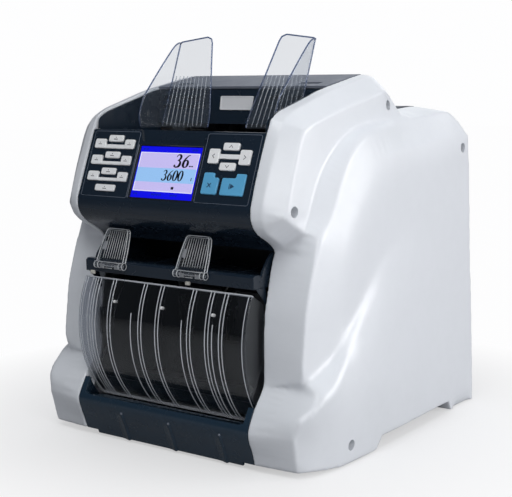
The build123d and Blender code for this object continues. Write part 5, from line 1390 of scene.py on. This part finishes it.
for stopper_name, stopper_x in STOPPERS:
    stopper(stopper_name, stopper_x)


# ---------------------------------------------------------------- hopper guides
GUIDE_FOOT_Z = 289.0
GUIDE_AXIS_Y = -59.0                    # line between the two racks
RACK_Z0, RACK_Z1 = 275.0, 279.0
GUIDE_NY, GUIDE_NZ = -0.9357, 0.3528    # normal of the leaning plate


def plate_y(z):
    """y of the guide plate's middle plane at a height."""
    return -54.0 + (z - 302.0) * 0.377


def guide_rack(side):
    """Toothed rack under the floor and the arm that carries it."""
    root, back = GUIDE_AXIS_Y + side * 9.2, GUIDE_AXIS_Y + side * 12.4
    tip = GUIDE_AXIS_Y + side * 7.45
    x0, x1 = sorted((side * 66.0, -side * 26.0))
    parts = [block(x0, x1, *sorted((root, back)), RACK_Z0, RACK_Z1, GUIDE_CLEAR)]
    for k in range(-10, 11):
        x = (k + 0.5) * math.pi
        if x0 + 1 < x < x1 - 1:
            tooth = [(x - 0.62, root + side * 0.1), (x + 0.62, root + side * 0.1),
                     (x + 0.34, tip), (x - 0.34, tip)]
            parts.append(extrude([W(tx, ty, 275) for tx, ty in tooth], Vector((0, 0, 0.004)),
                                 GUIDE_CLEAR))
    arm_y = sorted((-59.4 if side > 0 else -57.4, back))
    parts.append(block(*side_span(side, 52.0, 66.0), *arm_y, RACK_Z0, RACK_Z1, GUIDE_CLEAR))
    return parts


def hopper_guide(name, side):
    def on_plate(x, z, out):
        return W(side * x, plate_y(z) + GUIDE_NY * out, z + GUIDE_NZ * out)

    normal = Vector((0, GUIDE_NY * MM, GUIDE_NZ * MM))
    outline = rounded(
        [(22.6, GUIDE_FOOT_Z), (79.2, GUIDE_FOOT_Z), (80.2, 369.3), (78.0, 371.0),
         (46.5, 375.0), (41.5, 373.0), (39.6, 369.0), (24.0, 304.0)],
        [1, 0, 0, 1, 3.0, 1.5, 2.0, 6])
    plate = extrude([on_plate(x, z, -1.1) for x, z in outline], normal * 2.2, GUIDE_CLEAR,
                    name="plate")
    bake(bevel(plate, 0.5, 3))
    # wing running forward from the plate's outer edge
    wing_outline = spline(
        [(-89.0, GUIDE_FOOT_Z), (-91.6, 296.0), (-91.4, 302.0), (-85.0, 317.5), (-78.5, 325.4),
         (-60.2, 345.0), (-42.6, 362.6), (-36.5, 367.8), (-31.5, 370.2)], 2.5, 60.0)
    wing_outline += [(plate_y(z) + 0.4, z) for z in (370.2, GUIDE_FOOT_Z)]
    wing = prism(wing_outline, side * 78.5, side * 80.7, GUIDE_CLEAR)
    bake(bevel(wing, 0.5, 3))
    # dark bluish beads on the plate's outline, the wing's outline and the fold between them: painted
    # shade along the clear edges
    top = [(x, z) for x, z in outline if z > 296 and not (x > 78.5 and z < 360)]
    plate_line = [on_plate(x - 0.15 if x > 60 else x + 0.1, z - 0.1, 0.0) for x, z in top]
    plate_line += [on_plate(22.9, 296.0, 0.0), on_plate(22.8, 289.5, 0.0)]
    wing_line = [W(side * 79.6, y + 0.2, z - 0.2) for y, z in wing_outline[:-1] if z > 289.5]
    fold_line = [on_plate(79.6, 290.0, 0.0), on_plate(79.6, 369.5, 0.0)]
    edges = [tube(plate_line, 0.72, GUIDE_EDGE_SHADE), tube(wing_line, 0.72, GUIDE_EDGE_SHADE),
             tube(fold_line, 0.62, GUIDE_EDGE_SHADE)]
    # real ribs, their hazy white is painted highlight
    for i in range(9):
        foot_x, top_x = 30.0 + i * 5.4, 36.5 + i * 4.7
        rib = [(foot_x - 0.32, 290), (foot_x + 0.32, 290), (top_x + 0.32, 337),
               (top_x - 0.32, 337)]
        edges.append(extrude([on_plate(x, z, 1.0) for x, z in rib], normal * 0.75, GUIDE_RIB_HIGHLIGHT))
    foot = block(*side_span(side, 52.0, 66.0), -59.4, -57.4, 277.6, 292.0, GUIDE_CLEAR)
    bake(bevel(foot, 0.4))
    give(join(name + "_clear", [plate, wing, foot] + guide_rack(side)),
         name, "clear_plastic", name)
    give(join(name + "_edges", edges), name, "clear_plastic")


hopper_guide("hopper_guide_right", 1)
hopper_guide("hopper_guide_left", -1)


# ---------------------------------------------------------------- finishes on frame pieces
# Frame node: material, edge rounding (0 leaves the edges alone).
DRESS = {
    "reject_tray": (DARK, 0.9), "stacker_pocket": (BLACK, 0.4),
    "top_cover": (COVER_GREY, 0.7), "rear_cover": (REAR_GREY, 0.7),
    "back_panel": (REAR_GREY, 0.0), "power_inlet": (MATT_BLACK, 0.4),
    "power_switch": (MATT_BLACK, 0.5), "fan_frame": (MATT_BLACK, 0.3),
    "fan_rotor": (MATT_BLACK, 0.2), "data_ports": (STEEL, 0.2), "base_plate": (STEEL, 0.2),
    "right_frame_plate": (STEEL, 0.2), "left_frame_plate": (STEEL, 0.2),
    "tie_rods": (STEEL, 0.0), "guide_carrier": (STEEL, 0.2), "pivot_pins": (PIN_STEEL, 0.25),
    "panel_screws": (SCREW_ZINC_SHADED, 0.25), "stopper_pins": (PIN_STEEL, 0.2),
    "rubber_feet": (FOOT_RUBBER, 0.8), "pickup_rollers": (ROLLER_RUBBER, 0.4),
    "feed_rollers": (ROLLER_RUBBER, 0.4), "retard_rollers": (ROLLER_RUBBER, 0.4),
    "transport_rollers_upper": (ROLLER_RUBBER, 0.4),
    "transport_rollers_lower": (ROLLER_RUBBER, 0.4), "stacker_wheels": (MATT_BLACK, 0.2),
    "guide_pinion": (NYLON, 0.15), "diverter_gate": (MATT_BLACK, 0.3),
    "diverter_solenoid": (MOTOR_PAINT, 0.4), "image_sensor_bars": (MATT_BLACK, 0.4),
    "drive_motor": (MOTOR_PAINT, 0.5), "motor_pulley": (NYLON, 0.2),
    "drive_belt": (BELT_RUBBER, 0.2), "main_board": (BOARD, 0.0), "keypad_board": (BOARD, 0.0),
    "power_supply": (STEEL, 0.3), "hopper_bed": (DARK, 0.45), "hopper_rear_wall": (DARK, 0.3),
}


def paint(obj, mat):
    for slot in obj.material_slots:
        slot.material = mat


def plain_finish(name):
    """Finish of a frame node that has neither a DRESS entry nor a key."""
    if "side_panel" in name:
        return WHITE
    if name == "badge_plate":
        return PLATE_PAINTED_REFLECTION
    if any(word in name for word in ("guide", "stopper", "door")):
        return GUIDE_CLEAR
    return DARK


for node_name, (node_mat, edge_width) in DRESS.items():
    if node_name in NODES:
        node = NODES[node_name]
        paint(node, node_mat)
        if edge_width > 0:
            node.modifiers.new("weld", "WELD").merge_threshold = 0.00001
            edge_modifier(node, edge_width, segments=3 if edge_width >= 0.45 else 2, angle=30.0)
            weighted_normals(node)
for node_name in NODES:
    if node_name not in DRESS and node_name not in KEYS:
        paint(NODES[node_name], plain_finish(node_name))


# ---------------------------------------------------------------- small fixed pieces
def badge():
    """Blank plate with a sunk face on the hopper's leaning rear wall."""
    centre_y, centre_z = -43.45, 311.8
    lean = math.atan2(5.4, 33.4)
    c, s = math.cos(lean), math.sin(lean)

    def on_wall(x, v, out):
        return W(x, centre_y - (0.1 + out) * c + v * s, centre_z + (0.1 + out) * s + v * c)

    def wall_block(points, radius, out0, out1, mat=None):
        loop = [on_wall(x, v, out0) for x, v in rounded(points, radius, 6)]
        return extrude(loop, on_wall(0, 0, out1) - on_wall(0, 0, out0), mat, name="plate")

    plate = wall_block([(-18.5, -6.6), (19.0, -6.6), (20.5, 6.6), (-18.5, 6.6)],
                       1.2, 0.0, 0.9, PLATE_PAINTED_REFLECTION)
    cut(plate, wall_block([(-17.2, -5.3), (17.9, -5.3), (19.0, 5.3), (-17.2, 5.3)],
                          0.8, 0.65, 2.0))
    bevel(plate, 0.2)
    give(plate, "chassis", "label", "badge_plate")


def latches():
    """Two small latches under the crossbar."""
    parts = []
    for x in (-89.0, 26.0):
        body = block(x - 2.6, x + 2.6, -150.8, -148.6, 155.0, 158.4, NYLON)
        nib = block(x - 1.4, x + 1.4, -151.3, -149.0, 155.6, 157.0, NYLON)
        parts += [soften(body, 0.6, 3), soften(nib, 0.4)]
    give(join("crossbar_latches", parts), "chassis", "nylon")


def reject_back():
    """Dark sheet closing the back of the reject pocket."""
    path = spline([(-63.5, 160.8), (-63.8, 170.0), (-63.4, 180.0), (-62.4, 188.0),
                   (-61.2, 194.0)])
    sheet = prism(strip(path, 1.4), -97.4, 97.4, BLACK, name="reject_back_sheet")
    bevel(sheet, 0.4)
    has_black = "black_plastic" in str(frame["record"])
    give(sheet, "chassis", "black_plastic" if has_black else "dark_plastic")


badge()
latches()
reject_back()


# ---------------------------------------------------------------- floor
def floor_material():
    mat, tree = new_material("studio_floor")
    position = coords(tree)
    drift = noise(tree, position, scale=3.0, detail=2.0, roughness=0.5)
    tone = mix_color(tree, remap(tree, drift, span=(0.3, 0.7), to=(0.0, 1.0)),
                     (0.86, 0.86, 0.87), (0.84, 0.84, 0.85))
    rays = add_node(tree, "ShaderNodeLightPath").outputs
    # reflections and bounced light see a dimmer floor
    tone = mix_color(tree, multiply(tree, rays["Is Glossy Ray"], 0.55),
                     tone, (0.025, 0.042, 0.062))
    tone = mix_color(tree, multiply(tree, rays["Is Diffuse Ray"], 0.55),
                     tone, (0.10, 0.10, 0.11))
    surface = principled(tree, {
        "Base Color": tone, "Roughness": 0.55, "Specular IOR Level": 0.25})
    # the camera sees the floor melt into the pale backdrop away from the object
    radius = add_node(tree, "ShaderNodeVectorMath", {0: position}, operation="LENGTH")
    far = remap(tree, radius.outputs["Value"], span=(0.17, 0.42), to=(0.50, 1.0))
    backdrop = add_node(tree, "ShaderNodeEmission", {"Color": (0.985, 0.985, 0.99)}).outputs[0]
    output(tree, mix_shader(tree, multiply(tree, far, rays["Is Camera Ray"]), surface, backdrop))
    return mat


def floor():
    bm = bmesh.new()
    n = 64
    angles = [2 * math.pi * i / n for i in range(n)]
    rows = [[bm.verts.new((r * math.cos(a), r * math.sin(a), 0.0)) for a in angles]
            for r in (0.0001, 0.5, 1.0, 2.0, 4.0, 8.0)]
    for a, b in zip(rows, rows[1:]):
        for i in range(n):
            bm.faces.new((a[i], b[i], b[(i + 1) % n], a[(i + 1) % n]))
    bm.faces.new(rows[0][::-1])
    disc = new_obj("studio_floor", bm, floor_material())
    disc.location.z = -0.0003


floor()


# ---------------------------------------------------------------- lights and world
LIGHT_TARGET = Vector((0.0, 0.0, 0.19))


def area_light(name, location, size, power, color, size_y=None):
    light = bpy.data.lights.new(name, "AREA")
    light.shape = "RECTANGLE"
    light.size = size
    light.size_y = size_y or size
    light.energy = power
    light.color = color
    aim = (LIGHT_TARGET - Vector(location)).to_track_quat("-Z", "Y")
    obj = bpy.data.objects.new(name, light)
    obj.location = location
    obj.rotation_euler = aim.to_euler()
    bpy.context.scene.collection.objects.link(obj)


area_light("key_right", (1.75, 1.05, 0.50), size=1.0, size_y=0.8, power=18.0,
           color=(1.0, 0.995, 0.99))
area_light("key_front_right", (0.88, -0.60, 0.62), size=0.45, power=3.2, color=(1.0, 1.0, 1.0))
area_light("top_front", (0.35, -1.05, 1.80), size=0.8, power=12.0, color=(0.985, 1.0, 1.0))
area_light("top_soft", (0.1, 0.3, 1.9), size=1.5, power=4.2, color=(0.98, 0.99, 1.0))
area_light("rear_fill", (-0.8, 1.7, 1.1), size=1.2, power=5.0, color=(0.94, 0.97, 1.0))


def studio_world():
    """Pale to the camera; reflections see it bright behind and to the right of the
    object and dim in front of it."""
    world = bpy.data.worlds.new("studio")
    bpy.context.scene.world = world
    world.use_nodes = True
    tree = world.node_tree
    tree.nodes.clear()
    direction = add_node(tree, "ShaderNodeTexCoord").outputs["Generated"]
    rays = add_node(tree, "ShaderNodeLightPath").outputs
    height = add_node(tree, "ShaderNodeSeparateXYZ", {0: direction}).outputs["Z"]
    bright_side = add_node(tree, "ShaderNodeVectorMath", {0: direction, 1: (0.62, 0.78, 0.0)},
                           operation="DOT_PRODUCT").outputs["Value"]
    ambient = mix_color(tree, remap(tree, height, span=(-0.2, 0.9), to=(0.0, 1.0)),
                        (0.170, 0.176, 0.190), (0.205, 0.211, 0.222))
    reflected = mix_color(tree, remap(tree, bright_side, span=(-0.25, 0.65), to=(0.0, 1.0)),
                          (0.030, 0.036, 0.046), (0.42, 0.43, 0.46))
    color = mix_color(tree, rays["Is Glossy Ray"], ambient, reflected)
    color = mix_color(tree, rays["Is Camera Ray"], color, (0.99, 0.99, 0.995))
    background = add_node(tree, "ShaderNodeBackground", {"Color": color, "Strength": 1.0})
    add_node(tree, "ShaderNodeOutputWorld", {0: background.outputs[0]})


studio_world()


# ---------------------------------------------------------------- camera and view
def camera():
    data = bpy.data.cameras.new("camera")
    data.sensor_fit = "HORIZONTAL"
    data.sensor_width = 36.0
    data.lens = 83.27
    data.clip_start = 0.01
    data.clip_end = 50.0
    obj = link_object("camera", data)
    azimuth, elevation, roll = math.radians(36.567), math.radians(7.933), math.radians(-0.399)
    back = Vector((math.sin(azimuth) * math.cos(elevation),
                   -math.cos(azimuth) * math.cos(elevation), math.sin(elevation)))
    right = Vector((math.cos(azimuth), math.sin(azimuth), 0.0))
    up = back.cross(right)
    rolled_right = right * math.cos(roll) + up * math.sin(roll)
    rolled_up = -right * math.sin(roll) + up * math.cos(roll)
    pose = Matrix((rolled_right, rolled_up, back)).transposed().to_4x4()
    pose.translation = Vector((0.68519, -0.93994, 0.33004))
    obj.matrix_world = pose
    bpy.context.scene.camera = obj


camera()
view = bpy.context.scene.view_settings
view.view_transform = "Standard"
view.look = "None"
view.exposure = 0.0
view.gamma = 1.0
